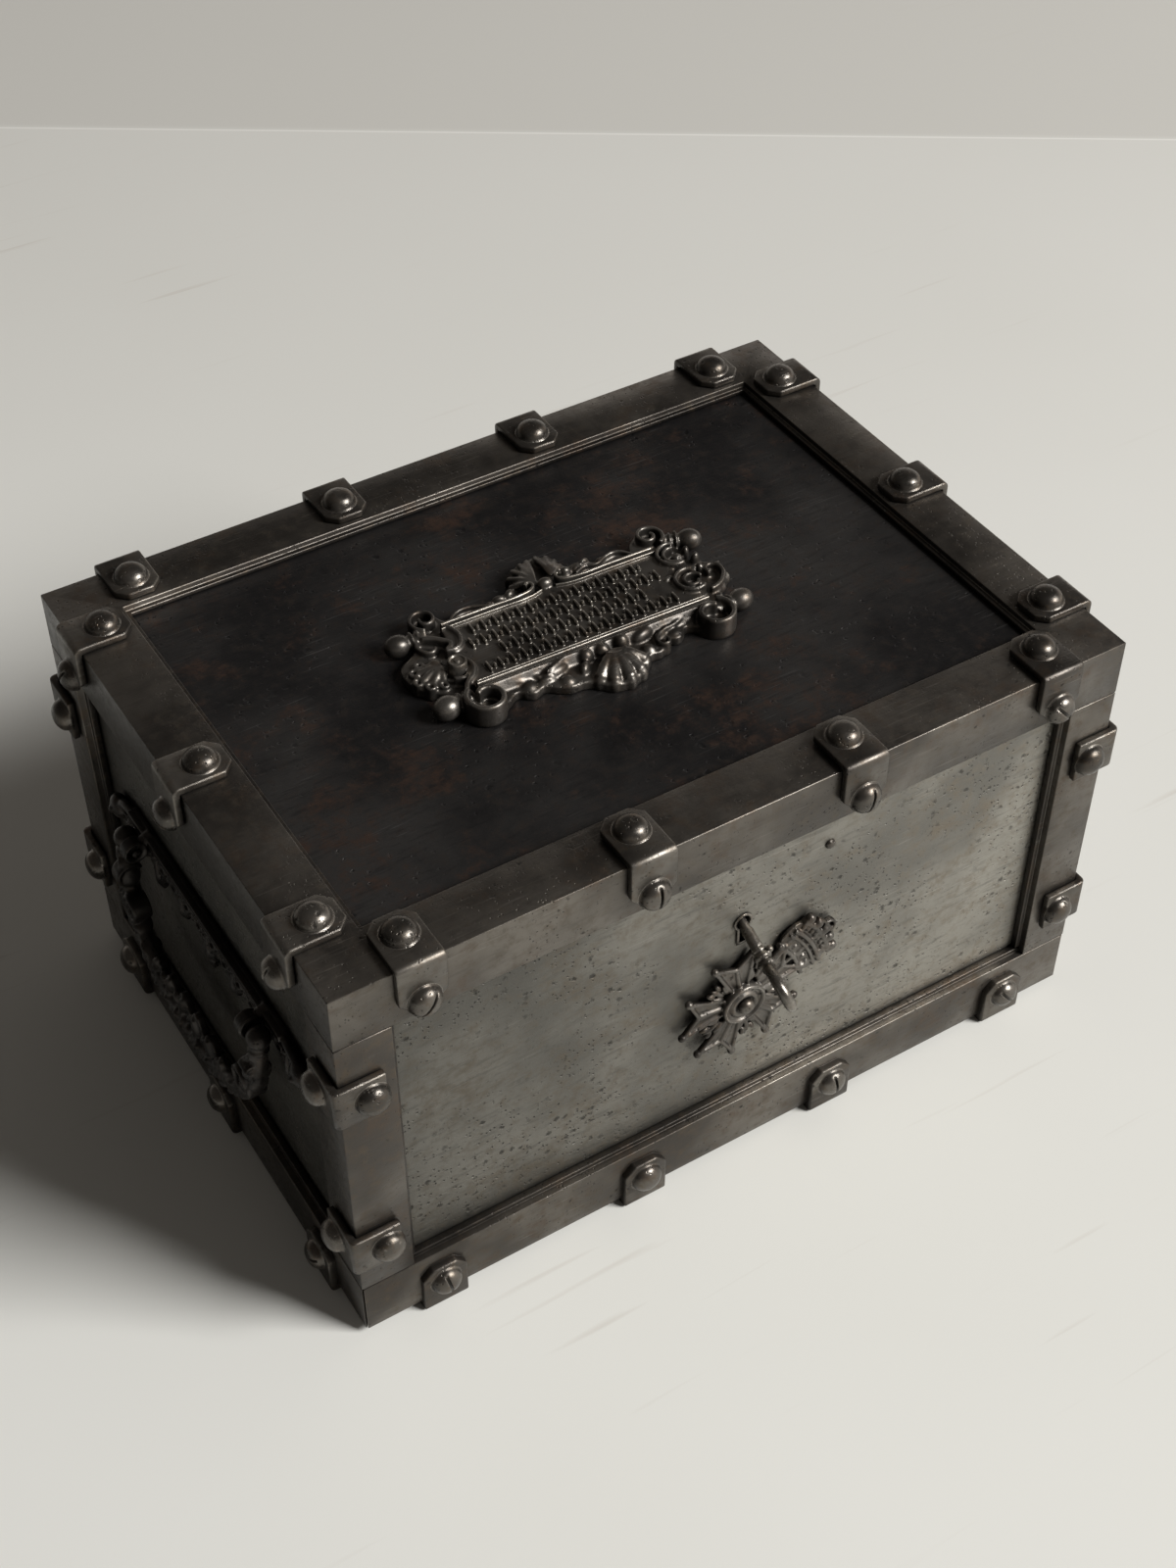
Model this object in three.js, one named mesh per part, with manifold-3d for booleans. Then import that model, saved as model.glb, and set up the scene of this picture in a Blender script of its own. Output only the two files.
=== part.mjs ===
// Iron strongbox: six plates held by angle irons, strapped at every edge by riveted clips.
// Millimetres, +Z up. The origin is under the middle of the box, on the surface it stands on.
// X runs along the front, -Y is the front with the keyhole, and the lid turns up about its back edge.
import * as THREE from "three";
import { mergeVertices } from "three/addons/utils/BufferGeometryUtils.js";
import Module from "manifold-3d";

const wasm = await Module();
wasm.setup();

// Box, measured over its angle irons
const boxLength = 260;
const boxDepth = 187;
const boxHeight = 146.4;
const seat = 0.3; // gap where one piece lies on another
const weld = 0.6; // how far joined shapes of one piece run into each other
const overrun = 2; // how far a cut runs past the surface it opens

// Angle irons
const ironThick = 2.4;
const stepThick = 2.2; // second step behind the outer leg of the wall irons
const stepWidth = 1.6; // how much of that step shows
const railHeight = 20;
const railFlange = 14; // leg under the floor
const postWidth = 17;
const skirtHeight = 19.1;
const strapWidth = 18.5; // top leg of the lid iron
const lidStepThick = 0.9;

// Plates
const wallThick = 3;
const floorThick = 3;
const lidThick = 3;
const lipHeight = 11; // how far the walls rise inside the lid

// Clips over the edges and their heads
const clipThick = 2.2;
const clipWidth = 14.5;
const clipCorner = 3.4; // corner cut off a leg's end
const clipEndDistance = 25.5; // first clip from the corner of the box
const longSideClips = 4;
const shortSideClips = 3;
const lidLegTop = 17;
const lidLegDown = 14;
const lidRivetIn = 9.3;
const lidScrewDown = 11.4;
const postLeg = 13;
const postRivetIn = 8.5;
const postClipLow = 39.5;
const postClipHigh = 106;
const footLegUp = 15.5;
const footLegIn = 13;
const footScrewUp = 9;
const rivetRadius = 5.1;
const rivetHeight = 3.9;
const screwRadius = 4.8;
const screwHeight = 3.3;
const headRim = 0.5; // upright edge under a head's dome
const slotTurnStep = 67; // degrees from one screw's slot to the next
const plainFoot = 2; // the foot of each side, counted from 0, that has a rivet in place of a screw
const slotWidth = 1.1;
const slotDepth = 1.3;
const headSides = 9;
const headRings = 2;
const ballSides = 7;
const ballRings = 4;
const arcSegments = 5; // per half circle of a drawn outline

// Lock, key and keyhole
const lockX = 0.8;
const keyholeHeight = 96.8; // above the underside of the irons
const keyholeRadius = 2.4;
const keyholeSlotWidth = 2.2;
const keyholeSlotDrop = 8;
const rimWidth = 0.9;
const rimThick = 0.4;
const lockRivetX = 30.2;
const lockRivetAbove = 15.9; // the keyhole
const lockRivetRadius = 1.7;
const lockRivetProud = 1;
const keyDroop = 24.5; // degrees below level, outwards
const keyTurned = 24; // degrees that the key stands turned from its slot
const keyShankRadius = 1.2;
const keyOutside = 29.4;
const keyCollarAt = 13.5;
const keyCollarRadius = 2.4;
const keyCollarLength = 4.6;
const keyBowLong = 16;
const keyBowWide = 14;
const keyBowThick = 2.8;
const keyBowBar = 3;
const keyBowSegments = 8;
const keyBitReach = 6;
const keyBitLength = 4;
const keyBitThick = 1.8;
const keyBitClear = 3.4; // bit from the inner face of the wall, along y
const keyTail = 1.6;
const caseWall = 1.6;
const caseDepth = 13.4;
const caseLeft = 27;
const caseRight = 27;
const caseBelow = 16; // under the keyhole
const caseAbove = 3.4; // case top above the bolt
const boltHeight = 8;
const boltThick = 4;
const boltGap = 1; // above the bit's sweep
const boltTipLeft = 8;
const boltTailRight = 18;
const guideHeight = 2;
const guideInner = 8.5;
const stapleThick = 3;
const stapleWidth = 8.2;
const stapleFromWall = 2.8;
const staplePlay = 0.6; // eye round the bolt
const stapleFlange = 12;
const stapleLeft = 12.5;
const stapleEnd = 2.6; // metal under the eye
const stapleFoot = 2; // plate that it is riveted by
const stapleRoom = 1.2; // slot in the case round it

// Keyhole cover: a five-armed star with a coronet, turning on a pin at its centre
const coverPivotBelow = 32.8; // the keyhole
const coverTilt = 28; // degrees of the coronet above level
const coverThick = 2.4;
const coverArms = 5;
const armTipRadius = 21.3;
const armNotchRadius = 15.6;
const armRootRadius = 5;
const armSpread = 19; // degrees from an arm's middle to its points
const armRootSpread = 24;
const tipBallRadius = 1.3;
const bossRadius = 7.6;
const bossHeight = 1.6;
const bossLip = 0.9; // flat top of its edge
const bossGroove = 0.9; // each wall of the groove inside it
const pivotHeadRadius = 2.6;
const pivotHeadHeight = 1.8;
const pivotPinRadius = 1.4;
const pivotTail = 1.5; // riveted end inside the wall
const coverBossSides = 14;
const coronetHalfWidth = 10.6;
const coronetBars = [21.8, 26.6, 31.6]; // distances of its bars from the pin
const coronetBar = 1.8;
const coronetCurve = 34; // radius that its bars are bent to
const coronetPearls = 5;
const coronetPearlRadius = 1.7;
const coronetRingRadius = 2.4;
const coronetRibs = 3;
const coronetRibShare = 0.7; // of the half width, between its ribs
const coronetInset = 0.5; // ribs lie under the bars
const coronetSegments = 3;
const sprayLength = 5.5;
const sprayRadius = 1.5;

// Side handles
const plateHalf = 62;
const plateStraight = 52; // half of its straight top
const plateEndDrop = 6.5; // how far its ends come down
const plateTop = 90; // above the underside of the irons
const plateHeight = 11;
const plateThick = 2.6;
const plateRidge = 2.2; // raised bead along its top
const finialRadius = 4.4; // knobs at its ends
const drops = 7; // leaves that hang from the plate
const shortDropShare = 0.55;
const middleDropShare = 0.8;
const dropLength = 12;
const dropWidth = 13;
const bailHalf = 46;
const bailAxisHeight = 86;
const bailAxisProud = 7.4; // from the wall plate
const bailDrop = 41;
const bailBow = 3.6; // how far the grip stands out past the axis
const bailRadius = 3.1;
const bailSides = 4; // per half circle
const bailSteps = 20;
const bailPathShares = [ // of the half width, the drop and the bow, from the end to the middle
  [1, 0, 0],
  [1, 0.26, 0.3],
  [0.93, 0.5, 0.55],
  [0.82, 0.72, 0.8],
  [0.6, 0.86, 0.92],
  [0.38, 0.97, 1],
];
const bailPinRadius = 1.6;
const bailEndRadius = 3.7;
const lugThick = 4.4;
const lugRadius = 3.9;
const bailScrollRadius = 5.2;
const bailScrollThick = 5;
const gripBeadRadius = 4;
const gripBeadThick = 2.2;
const gripBeads = 3;
const gripBeadPitch = 7;
const pinPast = 0.8; // bail pins past their lugs

// Hinges on the back
const hingeWidth = 30;
const hingePinRadius = 1.2;
const knuckleRadius = 3;
const leafThick = 1.6;
const lidLeafHeight = 13;
const bodyLeafHeight = 22;
const hingeCrank = 8; // where the body leaf steps in to the wall, below the pin
const knuckleShare = 0.34; // middle knuckle's share of the width
const pinHeadHeight = 0.8;

// Ornamental plate on the lid
const cartoucheX = -2;
const cartoucheTurn = -1.8; // degrees
const tabletHalfTop = 36;
const tabletFlare = 3; // how much wider each side is at its lower edge
const tabletHalfHeight = 14.4;
const tabletThick = 5.2;
const rimBar = 1.6;
const rimRise = 1.8;
const cornerBallOut = 13; // past the tablet's upper corner
const cornerBallUp = 1.1;
const cornerBallRadius = 3.4;
const neckRadius = 2.7;
const scrollOut = 2;
const scrollUp = 5.6;
const scrollOuter = 6.2;
const scrollInner = 1.6;
const scrollBand = 1.9;
const scrollTurns = 1.25;
const scrollHeight = 6.6;
const scrollSteps = 8; // of one turn
const webThick = 1.6; // floor of the casting between its scrolls
const endScrollOut = 6;
const endScrollShare = 0.47; // of the tablet's half height
const endScrollOuter = 5.6;
const leafOut = 12;
const leafLong = 5.4;
const leafWide = 2.7;
const leafHeight = 5.4;
const leafAngle = 35; // degrees
const leafShare = 0.17; // of the tablet's half height
const vineShare = 0.58; // of the tablet's half width
const vineUp = 2.6;
const vineLong = 9;
const shellRibs = 5;
const shellFan = 150; // degrees
const shellTopUp = 2.1;
const shellTopReach = 12.5;
const shellBottomDown = 0.6;
const shellBottomReach = 17;
const shellRibWide = 2.5;
const shellHeight = 5;
const shellFlattenShare = 0.25; // how much shorter the outer ribs are
const bossBallRadius = 2.2;
const bossBallHeight = 6.6;
const lineRows = 4; // raised lines across the tablet
const lineShare = 0.83; // of the tablet's half width
const lineWide = 2.4;
const lineRise = 1.1;

// Worked out from the sizes above
const degree = Math.PI / 180;
const halfLength = boxLength / 2;
const halfDepth = boxDepth / 2;
const frameBottom = clipThick + seat;
const lidTop = frameBottom + boxHeight;
const seamHeight = lidTop - skirtHeight;
const recess = ironThick + stepThick + seat; // wall plates behind the face of the irons
const wallX = halfLength - recess;
const wallY = halfDepth - recess;
const floorBottom = frameBottom + ironThick + seat;
const floorTop = floorBottom + floorThick;
const wallBottom = floorTop + seat;
const wallTop = seamHeight + lipHeight;
const lidPlateTop = lidTop - ironThick - lidStepThick - seat;
const lidPlateBottom = lidPlateTop - lidThick;
const clipOut = seat + clipThick; // outer face of a clip from the iron under it
const lockRivetHeight = keyholeHeight + lockRivetAbove;
const coverPivotHeight = keyholeHeight - coverPivotBelow;
const tabletHalfBottom = tabletHalfTop + tabletFlare;
const cornerBallX = tabletHalfTop + cornerBallOut;
const cornerBallY = tabletHalfHeight + cornerBallUp;
const scrollX = tabletHalfTop + scrollOut;
const scrollY = tabletHalfHeight + scrollUp;
const endScrollX = tabletHalfTop + endScrollOut;
const endScrollY = tabletHalfHeight * endScrollShare;
const leafX = tabletHalfTop + leafOut;
const leafY = tabletHalfHeight * leafShare;
const vineX = tabletHalfTop * vineShare;
const vineY = tabletHalfHeight + vineUp;
const shellTopY = tabletHalfHeight + shellTopUp;
const shellBottomY = -tabletHalfHeight - shellBottomDown;
const lineHalf = tabletHalfTop * lineShare;
const linePitch = (2 * tabletHalfHeight) / (lineRows + 1);

// Materials
function iron(name, color, roughness, metalness) {
  return new THREE.MeshStandardMaterial({ name, color, roughness, metalness });
}
const plateIron = iron("plate_iron", 0x46453f, 0.62, 0.75);
const lidIron = iron("lid_iron", 0x2a2c2f, 0.5, 0.75);
const frameIron = iron("frame_iron", 0x3a3632, 0.55, 0.8);
const clipIron = iron("clip_iron", 0x3f3b36, 0.5, 0.85);
const castIron = iron("cast_iron", 0x36332f, 0.5, 0.85);
const brightIron = iron("bright_iron", 0x6b665c, 0.38, 0.9);

// A closed three.js geometry as a solid that can be joined and cut.
function solid(geometry) {
  const bare = geometry.clone();
  bare.deleteAttribute("normal");
  bare.deleteAttribute("uv");
  const merged = mergeVertices(bare, 1e-4);
  const vertProperties = new Float32Array(merged.attributes.position.array);
  const triVerts = new Uint32Array(merged.index.array);
  return new wasm.Manifold(new wasm.Mesh({ numProp: 3, vertProperties, triVerts }));
}

function geometryOf(body) {
  const mesh = body.getMesh();
  const geometry = new THREE.BufferGeometry();
  const positions = new Float32Array(mesh.vertProperties);
  geometry.setAttribute("position", new THREE.BufferAttribute(positions, 3));
  geometry.setIndex(new THREE.BufferAttribute(new Uint32Array(mesh.triVerts), 1));
  geometry.computeVertexNormals();
  return geometry;
}

// All the geometries joined into one, less all the cuts.
function join(parts, cuts = []) {
  let body = solid(parts[0]);
  for (const part of parts.slice(1)) body = body.add(solid(part));
  for (const cut of cuts) body = body.subtract(solid(cut));
  return geometryOf(body);
}

function piece(name, geometry, material) {
  const mesh = new THREE.Mesh(geometry, material);
  mesh.name = name;
  return mesh;
}

function block(x0, x1, y0, y1, z0, z1) {
  const box = new THREE.BoxGeometry(x1 - x0, y1 - y0, z1 - z0);
  return box.translate((x0 + x1) / 2, (y0 + y1) / 2, (z0 + z1) / 2);
}

function outline(points) {
  return new THREE.Shape(points.map(([u, v]) => new THREE.Vector2(u, v)));
}

// A flat shape drawn in x and y, given a thickness from z0 to z1.
function slab(shape, z0, z1, curveSegments = arcSegments) {
  const geometry = new THREE.ExtrudeGeometry(shape, { depth: z1 - z0, bevelEnabled: false, curveSegments });
  return geometry.translate(0, 0, z0);
}

// A shape drawn in y and z, given a thickness along x.
function slabAlongX(shape, x0, x1, curveSegments = arcSegments) {
  return slab(shape, x0, x1, curveSegments).applyMatrix4(
    new THREE.Matrix4().makeBasis(
      new THREE.Vector3(0, 1, 0),
      new THREE.Vector3(0, 0, 1),
      new THREE.Vector3(1, 0, 0),
    ),
  );
}

// A rod from z0 to z1 round the z axis.
function rod(radius, z0, z1, sides = headSides) {
  return new THREE.CylinderGeometry(radius, radius, z1 - z0, sides)
    .rotateX(Math.PI / 2)
    .translate(0, 0, (z0 + z1) / 2);
}

// A turned shape round the z axis, from pairs of radius and height.
function turned(points, sides = headSides) {
  const profile = points.map(([r, z]) => new THREE.Vector2(r, z));
  return new THREE.LatheGeometry(profile, sides).rotateX(Math.PI / 2);
}

// A domed head that stands on z = 0 and has its foot sunk by the weld.
function dome(radius, height) {
  const points = [[0, -weld], [radius, -weld]];
  for (let i = 0; i < headRings; i++) {
    const a = (i / headRings) * (Math.PI / 2);
    points.push([radius * Math.cos(a), headRim + (height - headRim) * Math.sin(a)]);
  }
  points.push([0, height]);
  return turned(points);
}

function ball(radius, x, y, z) {
  return new THREE.SphereGeometry(radius, ballSides, ballRings).translate(x, y, z);
}

// One leg of a clip: a plate in x and y that runs from the bend at y = out back to y = -leg.
function leg(length, thick, cutCorners, gap) {
  const half = clipWidth / 2;
  const c = cutCorners ? clipCorner : 0;
  const points = [[-half, clipOut], [-half, c - length]];
  if (c) points.push([c - half, -length], [half - c, -length]);
  points.push([half, c - length], [half, clipOut]);
  return slab(outline(points), gap, gap + thick);
}

// A bent clip with its heads. Its bend runs along x; one leg lies on z = 0 and runs to -y,
// the other lies on y = 0 and runs to -z.
function clipShape({ legA, legB, headA, headB, cutA = true, cutB = false, gap = seat }) {
  const thick = clipOut - gap;
  const flip = new THREE.Matrix4().makeBasis(
    new THREE.Vector3(-1, 0, 0),
    new THREE.Vector3(0, 0, 1),
    new THREE.Vector3(0, 1, 0),
  );
  const parts = [leg(legA, thick, cutA, gap), leg(legB, thick, cutB, gap).applyMatrix4(flip)];
  const cuts = [];
  const heads = [];
  if (headA) heads.push([headA, new THREE.Matrix4().makeTranslation(0, -headA.at, clipOut)]);
  if (headB) {
    const place = new THREE.Matrix4().makeTranslation(0, -headB.at, clipOut);
    heads.push([headB, place.premultiply(flip)]);
  }
  for (const [head, place] of heads) {
    const radius = head.slot === undefined ? rivetRadius : screwRadius;
    const height = head.slot === undefined ? rivetHeight : screwHeight;
    parts.push(dome(radius, height).applyMatrix4(place));
    if (head.slot === undefined) continue;
    const reach = screwRadius + overrun;
    const cut = block(-reach, reach, -slotWidth / 2, slotWidth / 2, height - slotDepth, height + overrun);
    cuts.push(cut.rotateZ(head.slot * degree).applyMatrix4(place));
  }
  return join(parts, cuts);
}

// Where the clips of one side stand, from the middle of the side.
function clipPlaces(half, count) {
  const first = half - clipEndDistance;
  return Array.from({ length: count }, (_, i) => -first + (2 * first * i) / (count - 1));
}

// The four sides: the turn that brings the back side round, how far its face is, and its clips.
const sides = [
  { name: "front", turn: 180, face: halfDepth, half: halfLength, clips: longSideClips },
  { name: "right", turn: -90, face: halfLength, half: halfDepth, clips: shortSideClips },
  { name: "back", turn: 0, face: halfDepth, half: halfLength, clips: longSideClips },
  { name: "left", turn: 90, face: halfLength, half: halfDepth, clips: shortSideClips },
];

// One mitred rail of the base, with the strap feet that it stands on.
function baseRail(side) {
  const reach = side.face;
  const top = frameBottom + railHeight;
  const legBack = reach - ironThick;
  const section = [
    block(-side.half, side.half, legBack, reach, frameBottom, top),
    block(-side.half, side.half, legBack - stepThick, legBack, frameBottom, top + stepWidth),
    block(-side.half, side.half, reach - railFlange, reach, frameBottom, frameBottom + ironThick),
  ];
  const outerEnd = side.half + overrun - seat;
  const innerEnd = side.half - railFlange - overrun - seat;
  const mitre = slab(
    outline([
      [-outerEnd, reach + overrun],
      [-innerEnd, reach - railFlange - overrun],
      [innerEnd, reach - railFlange - overrun],
      [outerEnd, reach + overrun],
    ]),
    0,
    lidTop,
  );
  let body = solid(join(section)).intersect(solid(mitre));
  clipPlaces(side.half, side.clips).forEach((at, i) => {
    const foot = clipShape({
      legA: footLegIn,
      legB: footLegUp,
      headB: { at: footScrewUp, slot: i === plainFoot ? undefined : i * slotTurnStep },
      cutA: false,
      cutB: true,
      gap: -weld,
    });
    foot.rotateY(Math.PI).translate(at, reach, frameBottom);
    body = body.add(solid(foot));
  });
  const rail = piece("base_rail_" + side.name, geometryOf(body), frameIron);
  rail.rotation.z = side.turn * degree;
  return rail;
}

// Stands a piece drawn for the right back corner at any of the four corners.
function placeAtCorner(mesh, signX, signY, height) {
  mesh.position.set(signX * halfLength, signY * halfDepth, height);
  mesh.rotation.z = Math.atan2(signY, signX) - Math.PI / 4;
  return mesh;
}

// An angle iron that stands in a corner between the base rail and the lid.
function cornerPost(name, signX, signY) {
  const z0 = frameBottom + railHeight + seat;
  const z1 = seamHeight - seat;
  const inner0 = z0 + stepWidth;
  const inner = postWidth + stepWidth;
  const depth = ironThick + stepThick;
  const parts = [
    block(-postWidth, 0, -ironThick, 0, z0, z1),
    block(-ironThick, 0, -postWidth, 0, z0, z1),
    block(-inner, -ironThick, -depth, -ironThick, inner0, z1),
    block(-depth, -ironThick, -inner, -ironThick, inner0, z1),
  ];
  return placeAtCorner(piece("corner_post_" + name, join(parts), frameIron), signX, signY, 0);
}

// A clip round a corner post, with a rivet on each face.
function postClip(name, signX, signY, height) {
  const shape = clipShape({
    legA: postLeg,
    legB: postLeg,
    headA: { at: postRivetIn },
    headB: { at: postRivetIn },
    cutA: false,
  });
  shape.rotateY(Math.PI / 2);
  return placeAtCorner(piece(name, shape, clipIron), signX, signY, frameBottom + height);
}

// A clip over the lid's edge, riveted on top and screwed to the skirt.
function lidClip(side, at, index) {
  const shape = clipShape({
    legA: lidLegTop,
    legB: lidLegDown,
    headA: { at: lidRivetIn },
    headB: { at: lidScrewDown, slot: index * slotTurnStep },
  });
  const clip = piece(`lid_clip_${side.name}_${index + 1}`, shape.translate(at, side.face, lidTop), clipIron);
  clip.rotation.z = side.turn * degree;
  return clip;
}

function wallPlates() {
  const innerY = wallY - wallThick;
  const keyZ = frameBottom + keyholeHeight;
  const hole = slab(keyholeOutline(0), -wallY - overrun, -wallY + wallThick + overrun);
  const front = join([block(-wallX, wallX, -wallY, -innerY, wallBottom, wallTop)], [
    standUp(hole, keyZ),
    pinHole(lockX, frameBottom + coverPivotHeight, pivotPinRadius + seat),
    pinHole(lockRivetX, frameBottom + lockRivetHeight, lockRivetRadius / 2 + seat),
  ]);
  return [
    piece("bottom_panel", block(-wallX, wallX, -wallY, wallY, floorBottom, floorTop), plateIron),
    piece("front_panel", front, plateIron),
    piece("back_panel", block(-wallX, wallX, innerY, wallY, wallBottom, wallTop), plateIron),
    piece("left_panel", sidePlate(-1, innerY), plateIron),
    piece("right_panel", sidePlate(1, innerY), plateIron),
  ];
}

function sidePlate(sign, innerY) {
  const near = Math.min(sign * wallX, sign * (wallX - wallThick));
  return block(near, near + wallThick, seat - innerY, innerY - seat, wallBottom, wallTop);
}

// A hole through the front plate, for a pin along y.
function pinHole(x, z, radius) {
  return rod(radius, -overrun, wallThick + overrun).rotateX(-Math.PI / 2).translate(x, -wallY, z);
}

// The keyhole's outline, drawn with y down the front, grown all round by an edge.
function keyholeOutline(edge) {
  const shape = new THREE.Shape();
  const r = keyholeRadius + edge;
  const half = keyholeSlotWidth / 2 + edge;
  const meet = Math.asin(half / r);
  shape.absarc(0, 0, r, -Math.PI / 2 + meet, (3 * Math.PI) / 2 - meet, false);
  shape.lineTo(-half, -keyholeSlotDrop - edge);
  shape.lineTo(half, -keyholeSlotDrop - edge);
  shape.closePath();
  return shape;
}

// Turns a shape drawn in x and y to stand in x and z at the lock, with its thickness along y.
function standUp(geometry, z) {
  return geometry
    .applyMatrix4(
      new THREE.Matrix4().makeBasis(
        new THREE.Vector3(-1, 0, 0),
        new THREE.Vector3(0, 0, 1),
        new THREE.Vector3(0, 1, 0),
      ),
    )
    .translate(lockX, 0, z);
}

function keyholeRim() {
  const front = -wallY - seat;
  const outer = slab(keyholeOutline(rimWidth), front - rimThick, front);
  const inner = slab(keyholeOutline(0), front - rimThick - overrun, front + overrun);
  const rim = join([outer], [inner]);
  return piece("keyhole_rim", standUp(rim, frameBottom + keyholeHeight), brightIron);
}

// Lid: one ring of angle iron, its plate, and what is fixed to them.
function lidFrame() {
  const innerX = halfLength - ironThick;
  const innerY = halfDepth - ironThick;
  const openX = halfLength - strapWidth;
  const openY = halfDepth - strapWidth;
  const legs = join(
    [block(-halfLength, halfLength, -halfDepth, halfDepth, seamHeight, lidTop)],
    [
      block(-innerX, innerX, -innerY, innerY, seamHeight - overrun, lidTop - ironThick),
      block(-openX, openX, -openY, openY, seamHeight, lidTop + overrun),
    ],
  );
  const stepBottom = lidTop - ironThick - lidStepThick;
  const stepX = openX - stepWidth;
  const stepY = openY - stepWidth;
  const outX = innerX + weld;
  const outY = innerY + weld;
  const step = join(
    [block(-outX, outX, -outY, outY, stepBottom, lidTop - ironThick + weld)],
    [block(-stepX, stepX, -stepY, stepY, stepBottom - overrun, lidTop)],
  );
  return piece("lid_frame", join([legs, step]), frameIron);
}

function lidPanel() {
  const x = halfLength - ironThick - seat;
  const y = halfDepth - ironThick - seat;
  return piece("lid_panel", block(-x, x, -y, y, lidPlateBottom, lidPlateTop), lidIron);
}

// A spiral ribbon standing on z = 0, from an outer to an inner radius.
function scroll(outer, inner, band, height, turns, mirrored) {
  const steps = Math.round(turns * scrollSteps);
  const points = [];
  for (let i = 0; i <= steps; i++) {
    const a = (i / steps) * turns * 2 * Math.PI;
    const r = outer - ((outer - inner - band) * i) / steps;
    points.push([r * Math.cos(a), r * Math.sin(a)]);
  }
  for (let i = steps; i >= 0; i--) {
    const a = (i / steps) * turns * 2 * Math.PI;
    const r = outer - band - ((outer - inner - band) * i) / steps;
    points.push([r * Math.cos(a), r * Math.sin(a)]);
  }
  const flip = mirrored ? -1 : 1;
  return slab(outline(points.map(([u, v]) => [u * flip, v])), 0, height);
}

// A fan of ribs that starts at the origin and opens towards +y.
function shell(reach) {
  const ribs = [];
  for (let i = 0; i < shellRibs; i++) {
    const a = (i / (shellRibs - 1) - 1 / 2) * shellFan * degree;
    const length = reach * (1 - shellFlattenShare * Math.abs(Math.sin(a)));
    const rib = ball(1, 0, 0, 0).scale(shellRibWide, length / 2, shellHeight / 2);
    ribs.push(rib.translate(0, length / 2, shellHeight / 2 - weld).rotateZ(-a));
  }
  return ribs;
}

function cornerBall(sx, sy) {
  const z = cornerBallRadius - weld;
  const start = tabletHalfTop - neckRadius;
  const neck = rod(neckRadius, 0, cornerBallX - start).rotateY(Math.PI / 2);
  neck.translate(start, 0, 0);
  if (sx < 0) neck.rotateZ(Math.PI);
  neck.translate(0, sy * cornerBallY, z);
  return [neck, ball(cornerBallRadius, sx * cornerBallX, sy * cornerBallY, z)];
}

function cartouche() {
  const parts = [
    slab(
      outline([
        [-tabletHalfBottom, -tabletHalfHeight],
        [tabletHalfBottom, -tabletHalfHeight],
        [tabletHalfTop, tabletHalfHeight],
        [-tabletHalfTop, tabletHalfHeight],
      ]),
      0,
      tabletThick,
    ),
  ];
  for (const [y, half] of [[tabletHalfHeight, tabletHalfTop], [-tabletHalfHeight, tabletHalfBottom]]) {
    parts.push(block(-half, half, y - rimBar / 2, y + rimBar / 2, 0, tabletThick + rimRise));
  }
  for (const sx of [-1, 1]) {
    for (const sy of [-1, 1]) {
      parts.push(...cornerBall(sx, sy));
      const curl = scroll(scrollOuter, scrollInner, scrollBand, scrollHeight, scrollTurns, sx * sy > 0);
      if (sy < 0) curl.rotateZ(Math.PI);
      parts.push(curl.translate(sx * scrollX, sy * scrollY, 0));
      parts.push(rod(scrollOuter - scrollBand, 0, webThick).translate(sx * scrollX, sy * scrollY, 0));
      const end = scroll(endScrollOuter, scrollInner, scrollBand, scrollHeight, scrollTurns, sx * sy < 0);
      parts.push(end.translate(sx * endScrollX, sy * endScrollY, 0));
      parts.push(rod(endScrollOuter, 0, webThick).translate(sx * endScrollX, sy * endScrollY, 0));
      const leaf = ball(1, 0, 0, 0).scale(leafLong, leafWide, leafHeight / 2);
      leaf.rotateZ(sx * sy * leafAngle * degree);
      parts.push(leaf.translate(sx * leafX, sy * leafY, leafHeight / 2 - weld));
      const spray = ball(1, 0, 0, 0).scale(vineLong, leafWide, leafHeight / 2);
      parts.push(spray.translate(sx * vineX, sy * vineY, leafHeight / 2 - weld));
    }
  }
  for (const rib of shell(shellTopReach)) parts.push(rib.translate(0, shellTopY, 0));
  for (const rib of shell(shellBottomReach)) parts.push(rib.rotateZ(Math.PI).translate(0, shellBottomY, 0));
  for (const y of [shellTopY, shellBottomY]) parts.push(ball(bossBallRadius, 0, y, bossBallHeight));
  for (let row = 0; row < lineRows; row++) {
    const y = (row - (lineRows - 1) / 2) * linePitch - lineWide / 2;
    parts.push(block(-lineHalf, lineHalf, y, y + lineWide, tabletThick - weld, tabletThick + lineRise));
  }
  const below = block(-halfLength, halfLength, -halfDepth, halfDepth, -scrollHeight, 0);
  const plate = piece("lid_cartouche", join(parts, [below]), castIron);
  plate.position.set(cartoucheX, 0, lidPlateTop + seat);
  plate.rotation.z = cartoucheTurn * degree;
  return plate;
}

// Where the key runs: it enters at the wall's face and rises inwards by its droop.
const droopSlope = Math.tan(keyDroop * degree);
const keyEntryZ = frameBottom + keyholeHeight - (wallThick / 2) * droopSlope;
const bitNear = (wallThick + keyBitClear) / Math.cos(keyDroop * degree);
const bitFar = bitNear + keyBitLength;
const bitMiddleZ = keyEntryZ + ((bitNear + bitFar) / 2) * Math.sin(keyDroop * degree);
const bitRise = keyBitReach * Math.cos(keyDroop * degree) + (keyBitLength / 2) * Math.sin(keyDroop * degree);
const bitTop = bitMiddleZ + bitRise;
const boltBottom = bitTop + boltGap;
const wallInnerY = wallThick - wallY; // inner face of the front plate
const stapleY = wallInnerY + stapleFromWall;
const boltY = stapleY + stapleWidth / 2;

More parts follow.
